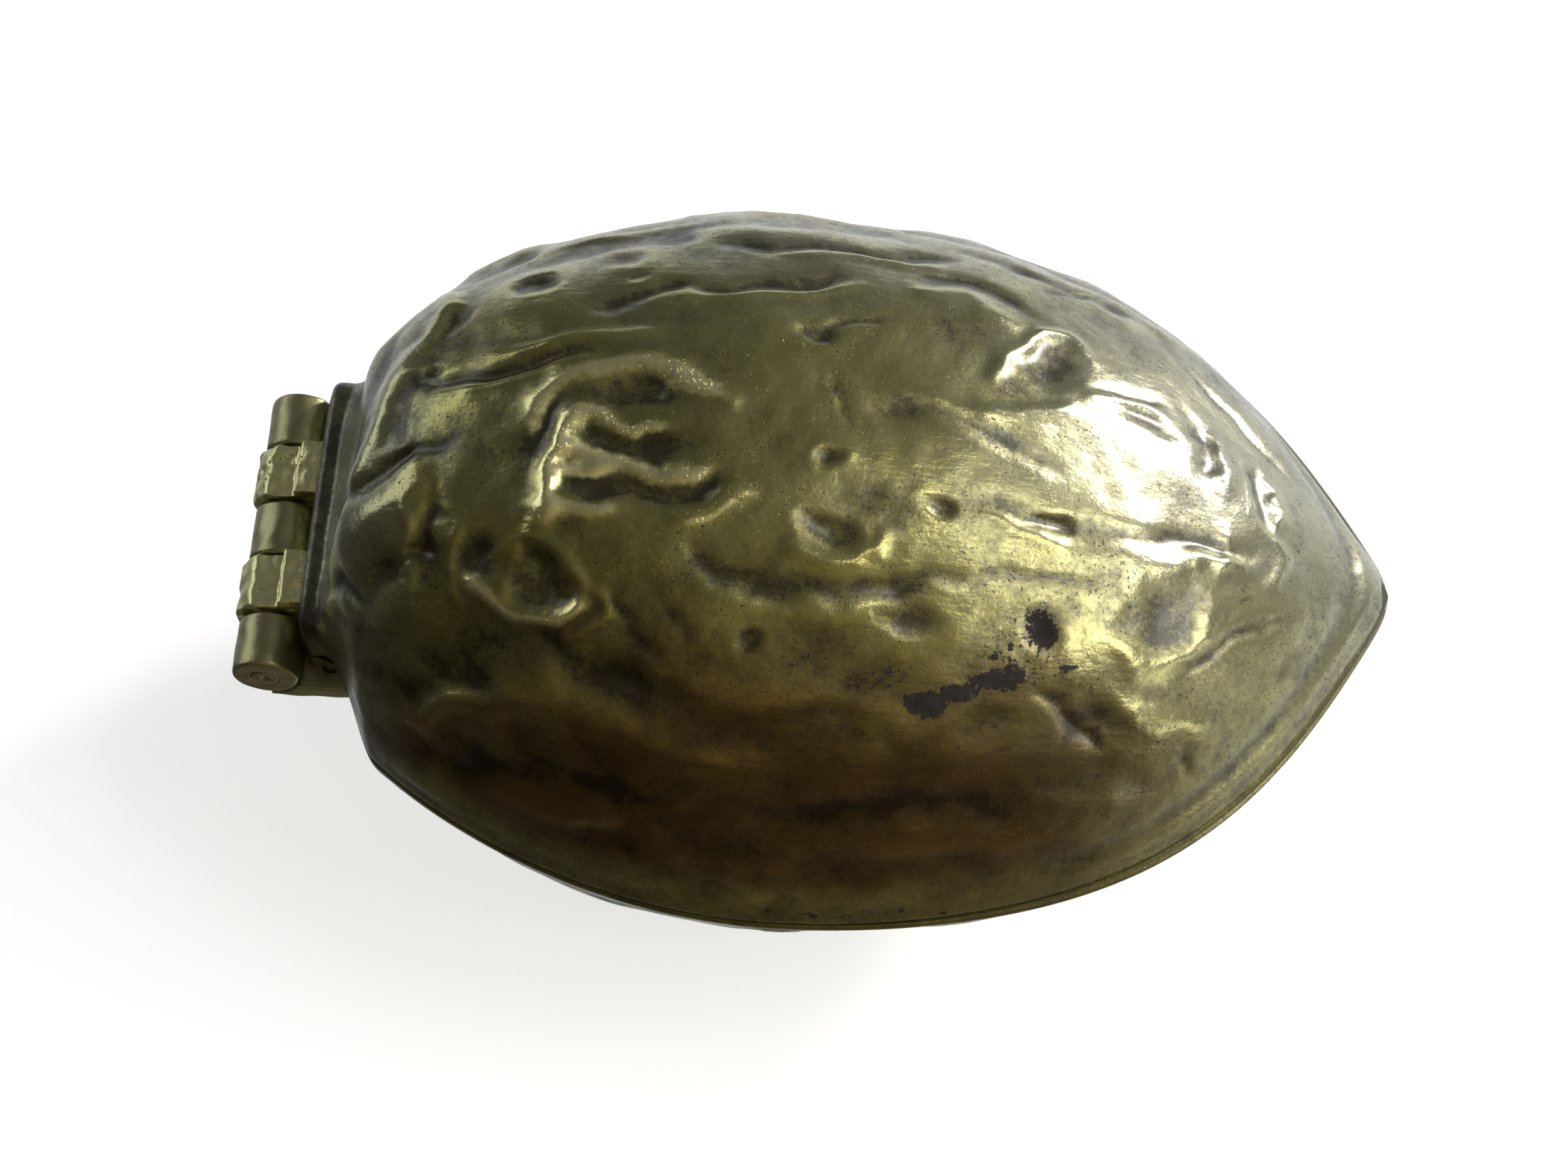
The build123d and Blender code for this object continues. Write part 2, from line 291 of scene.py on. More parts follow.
def dimple(relief, x, angle, per_degree, depth, place, half_length, half_angle, lip=0.3,
           turn=0):
    """Presses an oval hollow, with some of the metal pushed up into a lip."""
    dx = x - place[0]
    da = (angle - place[1]) * per_degree
    half_span = half_angle * np.median(per_degree)
    turn = math.radians(turn)
    u = (dx * math.cos(turn) + da * math.sin(turn)) / half_length
    w = (da * math.cos(turn) - dx * math.sin(turn)) / half_span
    away = np.sqrt(u ** 2 + w ** 2)
    relief -= 0.9 * depth * (1 - ease(away, 0.0, 1.3))
    relief += lip * 0.3 * depth * np.exp(-((away - 1.2) / 0.25) ** 2)


# %% [markdown]
# ## The marks at the hinge end
# Next to the hinge the shell is drawn in to a collar. A strong ridge like a bent
# finger crosses it, with deep dark hollows on both sides.

# %% Marks at the hinge end
HINGE_END_LINES = [
    (0.9, 1.2, [(-43.2, 77), (-41.7, 82), (-40.6, 92), (-39.9, 102), (-38.9, 109),
                 (-36.9, 114), (-36.1, 122), (-36.5, 135)]),
    (-0.8, 1.1, [(-44.6, 72), (-44.2, 85), (-43.6, 98), (-42.9, 110), (-41.6, 124)]),
    (-0.35, 0.8, [(-40.6, 84), (-39.6, 92), (-38.9, 99)]),
    (0.22, 0.35, [(-43.3, 87.6), (-42.8, 100), (-42.5, 105)]),
    (0.35, 0.6, [(-45, 48), (-46.8, 41), (-47.9, 31)]),
    (1.2, 2.9, [(-45.6, 60), (-43.2, 64), (-40.6, 68), (-37.4, 70.5), (-33.5, 72)]),
    (0.5, 1.0, [(-46, 49.5), (-43.5, 47), (-40, 48.4), (-37.5, 51)]),
    (-0.7, 0.7, [(-43.6, 73), (-40.8, 77.6), (-38.6, 80.5), (-36.3, 82)]),
    (-0.9, 0.95, [(-35.6, 62), (-35.1, 67.4), (-34.3, 73)]),
    (0.3, 0.3, [(-37.3, 61), (-36.9, 65), (-36.6, 70)]),
    (0.45, 0.5, [(-36.2, 61), (-36.6, 57), (-37.3, 52.5)]),
    (-0.3, 0.7, [(-39.2, 81), (-36.9, 83), (-33.3, 85)]),
    (-0.14, 0.35, [(-38.4, 85), (-38.2, 93), (-38, 99)]),
    (-0.14, 0.35, [(-36.5, 85), (-36.4, 92), (-36.2, 98)]),
    (-0.55, 0.75, [(-38, 100), (-35.6, 98.4), (-30, 98.2), (-25, 99.2), (-21.5, 100.3)]),
    (0.42, 0.7, [(-31.5, 101.8), (-26.4, 102.2), (-23.6, 103.3), (-19.4, 102.8),
                 (-15.5, 102)]),
    (0.30, 0.8, [(-32.8, 95), (-25, 97.2), (-20.8, 98.6)]),
]
HINGE_END_DIMPLES = [
    (0.75, (-42.3, 49.5), 2.4, 4.0, 0.1, 0),
    (0.45, (-36.7, 102.5), 0.9, 1.6, 0.2, 0),
    (0.5, (-35, 116.5), 2.0, 4.2, 0.1, 10),
    (0.75, (-27.5, 120.5), 2.9, 3.6, 0.2, -35),
    (0.35, (-19.5, 124), 2.4, 3.2, 0.1, 0),
    (0.3, (-14.7, 131.5), 2.4, 3.0, 0.1, 0),
    (0.45, (-29.8, 62.5), 2.2, 6.5, 0.3, 0),
    (0.2, (-34.4, 40.6), 2.6, 4.0, 0.1, 15),
    (0.15, (-38.4, 34.7), 2.4, 3.6, 0.1, 0),
]
print(len(HINGE_END_LINES), "lines and", len(HINGE_END_DIMPLES), "dimples")

# %% [markdown]
# ## The knot left of the crown
# Three curled ridges lie over each other here like a knot of string, with an
# oval thumb print in front of them and a long arc behind.

# %% Marks of the knot
KNOT_LINES = [
    (0.8, 0.9, [(-24.4, 70), (-24.2, 74.5), (-23.9, 79.5), (-22.9, 82), (-22.6, 85.6),
                  (-22.3, 87.4)]),
    (0.55, 0.65, [(-22.3, 87.6), (-20, 87.6), (-18.9, 86), (-17.5, 84.8), (-15.6, 85.9),
                 (-13.2, 85.6)]),
    (0.62, 0.7, [(-22.6, 83), (-21.1, 81.6), (-19.7, 80.1), (-18.6, 79.3), (-15.3, 77.8),
                 (-13.9, 77.8), (-11.4, 79.3), (-10, 80.4)]),
    (0.35, 0.45, [(-23.3, 75.5), (-22.5, 78), (-20.6, 78.5), (-18.7, 78.9)]),
    (0.55, 0.65, [(-24.4, 71), (-22.8, 71.5), (-20, 71.8), (-17.6, 72.4)]),
    (-0.5, 0.7, [(-17, 75), (-14, 75.2), (-11.5, 76), (-9.6, 77.4)]),
    (0.4, 0.6, [(-12, 72.4), (-10, 74.2), (-8.1, 75.7), (-6.1, 76.4)]),
    (0.3, 0.35, [(-11.6, 71.2), (-9.4, 72.2), (-7.8, 73.8), (-6.5, 74.8)]),
    (0.55, 0.85, [(-27.2, 86.5), (-25.8, 90.2), (-24.2, 92.7), (-22.5, 94.4), (-20.6, 95.4),
                (-16.9, 97), (-15, 96.8), (-13.3, 95.7), (-11.9, 93.7), (-9.7, 92),
                (-7.9, 90.4)]),
    (-0.6, 0.8, [(-20, 91.4), (-18, 92.2), (-16, 92.9), (-13.6, 92.2)]),
    (-0.35, 0.9, [(-26.5, 82), (-25.6, 87), (-23.5, 90.2)]),
    (0.5, 0.6, [(-30.8, 57.3), (-27.8, 55.4), (-26.1, 54), (-24.4, 53.5), (-23.1, 54),
                (-21.2, 57.3), (-20.6, 60.5)]),
    (0.32, 0.45, [(-25.6, 67.3), (-23.3, 66.2), (-20.4, 62.9), (-18.6, 59.5),
                  (-18.1, 56.4), (-19.6, 53.2), (-22, 51)]),
    (0.3, 0.4, [(-32.3, 69), (-32.4, 60), (-31.7, 54)]),
]
KNOT_DIMPLES = [
    (1.15, (-24.3, 61.2), 3.3, 5.8, 0.28, -12),
    (1.0, (-15.8, 80.5), 7.4, 10.0, 0.0, 0),
    (0.35, (-19.6, 75.4), 3.0, 2.0, 0.2, 0),
    (0.3, (-17.6, 82.2), 2.8, 1.6, 0.2, 0),
]
print(len(KNOT_LINES), "lines and", len(KNOT_DIMPLES), "dimples")

# %% [markdown]
# ## The crown and the far slope
# Long lazy grooves run along the far slope, and small pits and finger marks lie
# over the crown.

# %% Marks over the crown
CROWN_LINES = [
    (-0.5, 0.7, [(-21, 109.8), (-16.7, 112.6), (-15, 114.1), (-12.6, 115.3)]),
    (-0.55, 0.7, [(-10.6, 113.6), (-7, 114), (-3.6, 115.3), (-0.6, 117.3), (0.4, 119.5)]),
    (0.35, 0.7, [(-15.6, 111.2), (-10.6, 111.6), (-5, 112.4), (-0.8, 114.4),
                 (3.6, 117.3)]),
    (-0.5, 0.9, [(-10, 128.6), (-5, 126.6), (0, 127.6), (4.7, 129.4), (11, 132)]),
    (0.4, 0.8, [(-3, 124.6), (3.3, 125.6), (10.5, 129)]),
    (-0.3, 0.6, [(-19.4, 117.3), (-17.6, 117.8)]),
    (-0.3, 0.6, [(0, 106.6), (2.8, 108.7), (5.4, 110)]),
    (-0.13, 0.3, [(1.3, 97.6), (1.9, 93), (2.3, 89)]),
    (-0.45, 0.8, [(-10, 67.4), (-7.8, 64.6), (-5.6, 63.5), (-2.2, 63.1), (1.9, 63.5),
                  (5, 64.3), (9.4, 66)]),
    (0.3, 0.8, [(-8.6, 62), (-5.6, 60.9), (0, 60.6), (5, 61.6)]),
    (0.4, 0.5, [(-1.8, 69.4), (0, 67.9), (3.3, 68), (6.2, 70.6), (6.8, 73.4)]),
    (-0.2, 0.35, [(-18.2, 58.6), (-16.8, 56.6), (-15.4, 54.4)]),
    (-0.2, 0.35, [(-16.9, 54.4), (-14.7, 52.6), (-12.3, 50.7)]),
    (-0.2, 0.35, [(-12.4, 58.5), (-11, 56.7), (-9.8, 54.9)]),
    (-0.4, 0.8, [(5, 93), (9.9, 93.4), (14.2, 91.8), (16.6, 90.3), (18.9, 88.8),
                 (21, 87.4)]),
    (0.4, 0.7, [(14.4, 95.6), (17.7, 95), (20, 96.9), (22.6, 99)]),
    (0.45, 0.6, [(15.9, 101.6), (17, 106.6), (19.2, 112), (20.6, 114.8), (22.9, 115.6),
                 (25, 113.6)]),
    (0.5, 0.8, [(9.4, 118.8), (13.7, 117.9), (17, 115.4)]),
    (-0.45, 0.9, [(10.2, 124.9), (14.2, 123.9), (16.6, 122.8), (18.8, 120.4)]),
]
CROWN_DIMPLES = [
    (0.6, (-0.6, 105.4), 2.1, 2.7, 0.25, -15),
    (0.4, (1.4, 83), 1.5, 2.3, 0.35, 0),
    (0.6, (1.7, 72.6), 3.1, 3.4, 0.3, -8),
    (0.5, (11.3, 78.2), 1.8, 2.9, 0.3, 0),
    (0.6, (20.6, 108.4), 3.4, 6.0, 0.2, 0),
    (0.35, (9, 60), 3.0, 3.2, 0.3, 0),
    (0.35, (-4.6, 54.4), 1.6, 2.2, 0.3, 20),
]
print(len(CROWN_LINES), "lines and", len(CROWN_DIMPLES), "dimples")

# %% [markdown]
# ## The tip end and the near side
# Towards the point the marks become broad shallow bowls with bright rims. On the
# near side, above the rim, only a few pits and low folds break the surface.

# %% Marks at the tip end and on the near side
TIP_LINES = [
    (-0.38, 0.9, [(16.4, 79.6), (18.9, 77.4), (21.4, 76.4), (24.9, 77.6)]),
    (0.25, 0.6, [(16.4, 77.9), (18.9, 75.4), (21.2, 73.9), (23.2, 73.4)]),
    (-0.4, 0.8, [(25.5, 77.8), (31, 76.9), (35, 78.3), (40.4, 79.6)]),
    (0.4, 0.9, [(34.4, 74.6), (38, 75.2), (41, 76.6)]),
    (-0.22, 0.4, [(10.8, 67.2), (16, 67.8), (21, 67.4), (25.4, 68)]),
    (0.3, 0.7, [(27.9, 58.4), (28.8, 55.6), (30.6, 53.6), (32.6, 52.9), (34.6, 54.4),
                (36.6, 59.4), (37.2, 65)]),
    (-0.35, 0.5, [(25.4, 105), (27.6, 108), (29.8, 109.2), (32, 109.4)]),
    (0.3, 0.6, [(24.9, 102.4), (26.6, 105.8), (29.4, 107), (32, 107)]),
    (-0.5, 0.8, [(36.1, 94), (36.7, 100), (36.4, 105), (35.3, 109.6)]),
    (0.3, 0.7, [(38.2, 94), (38.7, 101), (38.2, 108)]),
    (-0.3, 0.6, [(34.2, 49), (36.8, 54), (39.7, 57.3), (44.4, 60.2)]),
    (-0.3, 1.1, [(44.2, 42), (46, 38), (48, 34.6)]),
    (-0.22, 0.5, [(34.2, 28.8), (35.6, 24.5), (37.2, 20.6)]),
    (0.42, 1.0, [(-36, 25.5), (-34.3, 30.2), (-32.1, 33.4), (-30, 36), (-27.1, 39.3),
                 (-24.3, 40.8), (-20.8, 42.8)]),
    (-0.25, 0.4, [(21, 49.4), (23, 45.6), (25, 41.4), (27.2, 36.5)]),
    (0.3, 0.5, [(-7.1, 11), (-5.4, 9), (-4.1, 7.3)]),
    (0.25, 0.8, [(-15.4, 22.6), (-13, 24.2), (-10.3, 25.8)]),
    (0.3, 0.7, [(43.6, 93), (44.6, 99), (44, 105)]),
]
TIP_DIMPLES = [
    (0.55, (22, 78), 2.6, 2.2, 0.15, 0),
    (0.35, (30.6, 102.8), 3.2, 3.6, 0.3, 0),
    (0.6, (42.7, 98.2), 1.3, 7.0, 0.25, 0),
    (0.65, (32.6, 62), 4.6, 9.0, 0.15, 0),
    (0.35, (21.4, 59.3), 2.6, 4.0, 0.2, 0),
    (0.28, (16.3, 43.6), 2.6, 3.6, 0.1, 0),
    (0.25, (26.3, 41.3), 2.8, 5.6, 0.1, 20),
    (0.15, (-18.2, 34.1), 2.6, 3.0, 0.1, 0),
    (0.15, (-7.5, 32.8), 2.4, 3.0, 0.1, 0),
    (0.12, (-24.6, 45.8), 2.2, 3.0, 0.1, 0),
    (0.5, (-16, 16), 4.0, 5.0, 0.1, 0),
    (0.25, (-3.4, 4.6), 0.7, 1.2, 0.2, 0),
]
print(len(TIP_LINES), "lines and", len(TIP_DIMPLES), "dimples")

# %% [markdown]
# ## Folds on the near slope
# Below the shoulder the shell is almost plain, with broad folds that are felt
# more than seen.

# %% Low folds of the near side
FOLD_LINES = [
    (0.55, 1.6, [(-38, 24), (-33, 31), (-27, 37.5), (-20, 38.5), (-12, 35.5), (-4, 34)]),
    (-0.6, 1.6, [(-35, 18), (-27, 24), (-18, 26.5), (-10, 22)]),
    (0.45, 1.4, [(-27, 15.5), (-19, 18.5), (-10, 13), (-2, 14)]),
    (-0.4, 1.5, [(-9, 27.5), (1, 26), (11, 29.5), (20, 27)]),
    (0.35, 1.3, [(0, 20), (9, 21.5), (18, 18.5), (27, 20)]),
    (-0.35, 1.2, [(-30, 47), (-24, 49.5), (-18, 47), (-12, 44.5)]),
    (0.3, 1.4, [(-12, 48.5), (-4, 46), (4, 47), (9, 43)]),
    (-0.3, 1.3, [(22, 33), (28, 30), (33, 25)]),
    (0.35, 1.2, [(29, 46), (33, 40), (38, 33)]),
]
TIP_LINES += FOLD_LINES
print(len(FOLD_LINES), "folds")

# %% [markdown]
# ## Marks nobody sees at first
# The far side of the upper half and the whole lower half are sculpted in the same
# hand. They reuse the marks above, mirrored and shifted, so that both halves
# belong together without being copies.

# %% Every mark of each half
# Knot ridges painted bright: real wear, together with a painted highlight where they face the
# window.
WORN_AND_HIGHLIT_STROKES = KNOT_LINES[:5] + KNOT_LINES[7:9] + KNOT_LINES[11:12]
UPPER_LINES = HINGE_END_LINES + KNOT_LINES + CROWN_LINES + TIP_LINES
UPPER_DIMPLES = HINGE_END_DIMPLES + KNOT_DIMPLES + CROWN_DIMPLES + TIP_DIMPLES


def moved_lines(lines, shift, mirror, turn, strength=1.0):
    """The same strokes somewhere else: mirror swaps near and far, shift moves along."""
    return [(height * strength, width,
             [(x + shift, (180 - v if mirror else v) + turn) for x, v in points])
            for height, width, points in lines]


def moved_dimples(dimples, shift, mirror, turn, strength=1.0):
    """The same dimples somewhere else."""
    return [(depth * strength, (x + shift, (180 - v if mirror else v) + turn), length, span,
             lip, -tilt if mirror else tilt)
            for depth, (x, v), length, span, lip, tilt in dimples]


far_lines = moved_lines(TIP_LINES[9:], 0, True, 0)
far_lines += [(-0.4, 0.8, [(-34, 138), (-28, 141), (-20, 140), (-12, 143)]),
              (0.4, 0.9, [(-30, 147), (-18, 148), (-6, 146), (6, 149)]),
              (-0.35, 0.8, [(14, 140), (20, 137), (27, 138), (33, 134)])]
far_dimples = moved_dimples(TIP_DIMPLES[5:10], 2, True, 0)
UPPER_LINES += far_lines
UPPER_DIMPLES += far_dimples

LOWER_LINES = moved_lines(HINGE_END_LINES, 0, True, 0)
LOWER_LINES += moved_lines(KNOT_LINES, 5, True, -18) + moved_lines(CROWN_LINES, -7, True, 24)
LOWER_LINES += moved_lines(TIP_LINES, -2, True, 0, 0.9)
LOWER_LINES += moved_lines(far_lines, 4, True, 0)
LOWER_DIMPLES = moved_dimples(HINGE_END_DIMPLES, 0, True, 0)
LOWER_DIMPLES += moved_dimples(KNOT_DIMPLES, 5, True, -18)
LOWER_DIMPLES += moved_dimples(CROWN_DIMPLES, -7, True, 24)
LOWER_DIMPLES += moved_dimples(TIP_DIMPLES, -2, True, 0)
print("upper:", len(UPPER_LINES), "lines; lower:", len(LOWER_LINES), "lines")


# %% [markdown]
# ## Two stains
# A black crust of old varnish is left on the near shoulder: one ragged patch and
# a broken streak. It lies on the metal and is not a mark in it, so it is kept as
# a second attribute and only changes the finish.

# %% Where the black crust is
CRUST = [(1.0, (21.4, 59.3), 2.4, 3.6), (1.0, (10.4, 47.2), 2.6, 2.0),
         (1.0, (13.4, 48.6), 2.4, 1.7), (1.0, (16.6, 50.8), 2.8, 1.8),
         (1.0, (19, 52.3), 1.6, 1.4), (0.9, (23.5, 54), 1.0, 1.1),
         (0.9, (16.6, 54.4), 0.8, 0.8), (0.9, (17.8, 55.8), 0.7, 0.8),
         (0.45, (6, 51), 5.5, 3.0), (0.42, (19.5, 56), 6.5, 8.0),
         (0.4, (25, 49), 5.0, 6.0), (0.38, (14, 37), 8.0, 6.0),
         (1.0, (0.5, 3.2), 0.5, 0.8), (0.9, (3.2, 2.4), 0.4, 0.6),
         (1.0, (9.6, 3.4), 0.6, 0.9), (0.8, (12.5, 2.6), 0.4, 0.6)]


def crust_mask(x, angle):
    """1 in the middle of each patch, falling to 0 at half as far again."""
    mask = np.zeros(x.shape)
    for strength, (at_x, at_angle), half_length, half_angle in CRUST:
        away = np.hypot((x - at_x) / half_length, (angle - at_angle) / half_angle)
        mask = np.maximum(mask, strength * (1 - ease(away, 0.3, 1.5)))
    return mask


print(len(CRUST), "patches of crust")

# %% [markdown]
# ## Pressing the marks into the skin
# The heights are summed first and applied once, along each point's own normal.
# The sum is kept on the mesh as an attribute: how far a point lies below its
# neighbourhood tells the material where hands polish and where dirt stays.

# %% Relief of a half
def sculpted(points, x, per_degree, lines, dimples, bright, seed):
    """Points moved by the relief, and the relief itself in millimetres."""
    angle = np.broadcast_to(angles[None, :], x.shape).copy()
    relief = np.zeros(x.shape)
    wander = 0.5 * soft_noise(points, 3.2, seed + 5) + 0.15 * soft_noise(points, 1.0, seed + 6)
    x = x + wander * ease(x - neck_x, 3, 15)
    angle += 0.5 * soft_noise(points, 3.2, seed + 7) / np.maximum(per_degree, 0.1)
    for height, width, line in lines:
        stroke(relief, x, angle, per_degree, height, width, line)
    for depth, place, half_length, half_angle, lip, turn in dimples:
        dimple(relief, x, angle, per_degree, depth, place, half_length, half_angle, lip, turn)
    relief += 0.17 * soft_noise(points, 6.5, seed) + 0.025 * soft_noise(points, 1.5, seed + 1)
    towards_tip = ease(x, 15, 40)
    rise = points[..., 2]
    rim_side = 1 - ease(rise, 6.5, 8.5)
    bead = np.exp(-((rise - 2.2) / 0.7) ** 2) * 0.18 * towards_tip
    valley = np.exp(-((rise - 4.3) / 1.2) ** 2) * 0.28 * towards_tip
    relief = relief * (1 - 0.75 * rim_side * towards_tip) + bead - valley
    hold = ease(rise, 1.6, 3.6) * ease(x - neck_x, 0.8, 3.0) * ease(dome_tip_x - x, 0.1, 2.5)
    relief = relief * hold
    along_x = np.gradient(points, axis=0)
    along_v = np.gradient(points, axis=1)
    normal = np.cross(along_x, along_v)
    normal /= np.linalg.norm(normal, axis=-1, keepdims=True) + 1e-9
    if normal[station_count // 2, len(angles) // 2, 2] < 0:
        normal = -normal
    moved = points + normal * relief[..., None]
    # worn marks the strokes that are painted bright: real wear and a painted highlight.
    worn = np.zeros(x.shape)
    for height, width, line in bright:
        stroke(worn, x, angle, per_degree, 1.0 / press, width * 1.1, line, 0.1)
    return moved, relief, worn, crust_mask(x, angle)


def blurred(values, passes):
    """The same grid, averaged with its neighbours again and again."""
    for _ in range(passes):
        padded = np.pad(values, 1, mode="edge")
        values = (padded[:-2, 1:-1] + padded[2:, 1:-1] + padded[1:-1, :-2]
                  + padded[1:-1, 2:] + 2 * padded[1:-1, 1:-1]) / 6
    return values


# %% [markdown]
# ## One closed casting
# A half is a thick shell: an outside, an inside and the flat joint face between
# them. All three are grids with matching edges, so the mesh is closed and could
# be cast as it is. The neck end is closed by shrinking rings.

# %% Inside of a half and the closed mesh
def inside():
    """Points of the hollow, plain and smooth as the core left it."""
    x = hollow_neck_x + stations * (hollow_tip_x - hollow_neck_x)
    y = swell(x, hollow_neck_x, hollow_tip_x, dome_half_width - wall, 11.5, **PLAN)
    top = swell(x, hollow_neck_x, hollow_tip_x, crown - wall, 10.0, **CROWN)
    turn = np.radians(inner_angles)[None, :]
    return np.stack([x[:, None] + 0 * turn, -y[:, None] * np.cos(turn),
                     top[:, None] * np.sin(turn)], axis=-1)


def grid_with_ends(points, tip, first):
    """Vertices and faces of a grid closed by a tip and a cap of shrinking rings."""
    rows, columns = points.shape[:2]
    centre = np.array([points[0, 0, 0], 0, 0])
    rings = [centre + (points[0] - centre) * (1 - m / cap_rings) for m in range(1, cap_rings)]
    vertices = np.concatenate([points.reshape(-1, 3), *rings, [centre], [tip]])

    def at(row, column):
        """Row -1 and below are the cap's rings."""
        if row >= 0:
            return first + row * columns + column
        return first + (rows - row - 1) * columns + column

    middle, end = first + len(vertices) - 2, first + len(vertices) - 1
    faces = []
    for row in range(1 - cap_rings, rows - 1):
        a, b = at(row, 0), at(row + 1, 0)
        faces += [(a + c, b + c, b + c + 1, a + c + 1) for c in range(columns - 1)]
    last, inner = at(rows - 1, 0), at(1 - cap_rings, 0)
    faces += [(last + c, end, last + c + 1) for c in range(columns - 1)]
    faces += [(inner + c + 1, middle, inner + c) for c in range(columns - 1)]
    near = [at(row, 0) for row in range(rows - 1, -cap_rings, -1)]
    far = [at(row, columns - 1) for row in range(1 - cap_rings, rows)]
    return vertices, faces, [end] + near + [middle] + far


seam = 0.1                      # each half stops this far from the joint plane


def cast_half(name, side, rim_inset, lines, dimples, bright, seed):
    """A whole half. side is 1 above the joint face and -1 below it."""
    points, x, per_degree = outside(rim_inset, crown - sculpt_depth)
    skin, relief, worn, crust = sculpted(points, x, per_degree, lines, dimples, bright, seed)
    tip = np.array([tip_x - rim_inset, 0, 0])
    outer, outer_faces, outer_edge = grid_with_ends(skin, tip, 0)
    inner_tip = np.array([hollow_tip_x, 0, 0])
    inner, inner_faces, inner_edge = grid_with_ends(inside(), inner_tip, len(outer))
    count = len(outer_edge)
    joint_face = [(outer_edge[k], outer_edge[(k + 1) % count], inner_edge[(k + 1) % count],
                   inner_edge[k]) for k in range(count)]
    vertices = np.concatenate([outer, inner])
    rise = np.clip(vertices[:, 2], 0, crown - seam) + seam
    vertices[:, 2] = joint_z + side * rise
    vertices[:, 2] = np.clip(vertices[:, 2], cad_box[0][2] / MM, cad_box[1][2] / MM)
    vertices[:, 1] = np.clip(vertices[:, 1], -rim_half_width, rim_half_width)
    vertices[:, 0] = np.clip(vertices[:, 0], neck_x, tip_x)
    piece = new_piece(name, vertices, outer_faces + inner_faces + joint_face)
    behind_hinge = 1 - ease(x - neck_x, 1.5, 3.2)
    hollow = np.clip((blurred(relief, 90) - relief) / 0.22 + 0.9 * behind_hinge, -1, 1)
    if side < 0:
        crust = crust * 0
    # The worn attribute carries those bright strokes: real wear and a painted highlight.
    for label, mask, within in (("hollow", hollow, 0.5), ("worn", worn, 0), ("crust", crust, 0)):
        values = np.zeros(len(vertices), np.float32)
        values[:mask.size] = mask.reshape(-1)
        values[len(outer):] = within
        layer = piece.data.attributes.new(label, "FLOAT", "POINT")
        layer.data.foreach_set("value", values)
    smooth_piece(piece, 50)
    for polygon in piece.data.polygons[-len(joint_face):]:
        polygon.use_smooth = False
    return piece


upper_half = cast_half("upper_walnut_half", 1, upper_rim_inset, UPPER_LINES, UPPER_DIMPLES,
                       WORN_AND_HIGHLIT_STROKES, 11)
lower_half = cast_half("lower_walnut_half", -1, 0.0, LOWER_LINES, LOWER_DIMPLES,
                       moved_lines(KNOT_LINES[:5], 5, True, -18), 29)
install(upper_half, "upper_half", "shell_brass", "upper_shell")
install(lower_half, "lower_half", "shell_brass", "lower_shell")

# %% [markdown]
# ## The seats that hold the jaws
# Inside each half a block was cast onto the crown, and a jaw is screwed to its
# flat face. It is a loft of rounded rectangles that flares where it meets the
# wall, because a casting never has a sharp inside corner.

# %% Jaw seats
upper_jaw_low, upper_jaw_high = (np.array(corner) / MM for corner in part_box("upper_jaw"))
seat_x = (upper_jaw_low[0] + upper_jaw_high[0]) / 2
seat_length = (upper_jaw_high[0] - upper_jaw_low[0]) / 2 + 1
seat_width = (upper_jaw_high[1] - upper_jaw_low[1]) / 2 + 1
seat_low = upper_jaw_high[2] - joint_z


def ceiling(x, y):
    """Height of the hollow's roof over the joint face."""
    half = swell(x, hollow_neck_x, hollow_tip_x, dome_half_width - wall, 11.5, **PLAN)
    top = swell(x, hollow_neck_x, hollow_tip_x, crown - wall, 10.0, **CROWN)
    return top * np.sqrt(np.clip(1 - (y / half) ** 2, 0, 1))


def jaw_seat(name, side):
    """A closed block from the jaw's back to just inside the wall."""
    turn = np.linspace(0, 2 * math.pi, 120, endpoint=False)
    round_x = np.sign(np.cos(turn)) * np.abs(np.cos(turn)) ** 0.3
    round_y = np.sign(np.sin(turn)) * np.abs(np.sin(turn)) ** 0.3
    rings = []
    for size in (0.02, 0.35, 0.7, 0.9):
        x, y = seat_x + (seat_length - 0.6) * size * round_x, (seat_width - 0.6) * size * round_y
        rings.append(np.stack([x, y, np.full(x.shape, seat_low)], axis=-1))
    for share in np.linspace(0, 1, 16):
        grow = -0.6 + 0.6 * math.sin(min(share * 8, 1) * math.pi / 2) + 1.1 * share ** 4
        x, y = seat_x + (seat_length + grow) * round_x, (seat_width + grow) * round_y
        roof = ceiling(x, y) + 0.9
        rings.append(np.stack([x, y, seat_low + (roof - seat_low) * share], axis=-1))
    for size in (0.6, 0.02):
        x, y = seat_x + seat_length * size * round_x, seat_width * size * round_y
        rings.append(np.stack([x, y, ceiling(x, y) + 0.9], axis=-1))
    rings = np.array(rings)
    count = len(turn)
    faces = [(r * count + c, r * count + (c + 1) % count, (r + 1) * count + (c + 1) % count,
              (r + 1) * count + c) for r in range(len(rings) - 1) for c in range(count)]
    faces += [tuple(range(count)), tuple(range((len(rings) - 1) * count, len(rings) * count))]
    vertices = rings.reshape(-1, 3)
    vertices[:, 2] = joint_z + side * vertices[:, 2]
    piece = new_piece(name, vertices, faces)
    smooth_piece(piece, 50)
    return piece


for name, side, body, node in (("upper_jaw_seat", 1, "upper_half", "upper_shell"),
                               ("lower_jaw_seat", -1, "lower_half", "lower_shell")):
    install(jaw_seat(name, side), body, "shell_brass", node)

# %% [markdown]
# ## Worn hinge parts
# Knuckles, straps and jaws leave the file with sharp edges and lose them in use.
# Each is taken from its CAD shape, turned into an even fine mesh, smoothed so
# that every edge rounds over, and given the small dents of a hand-made part.

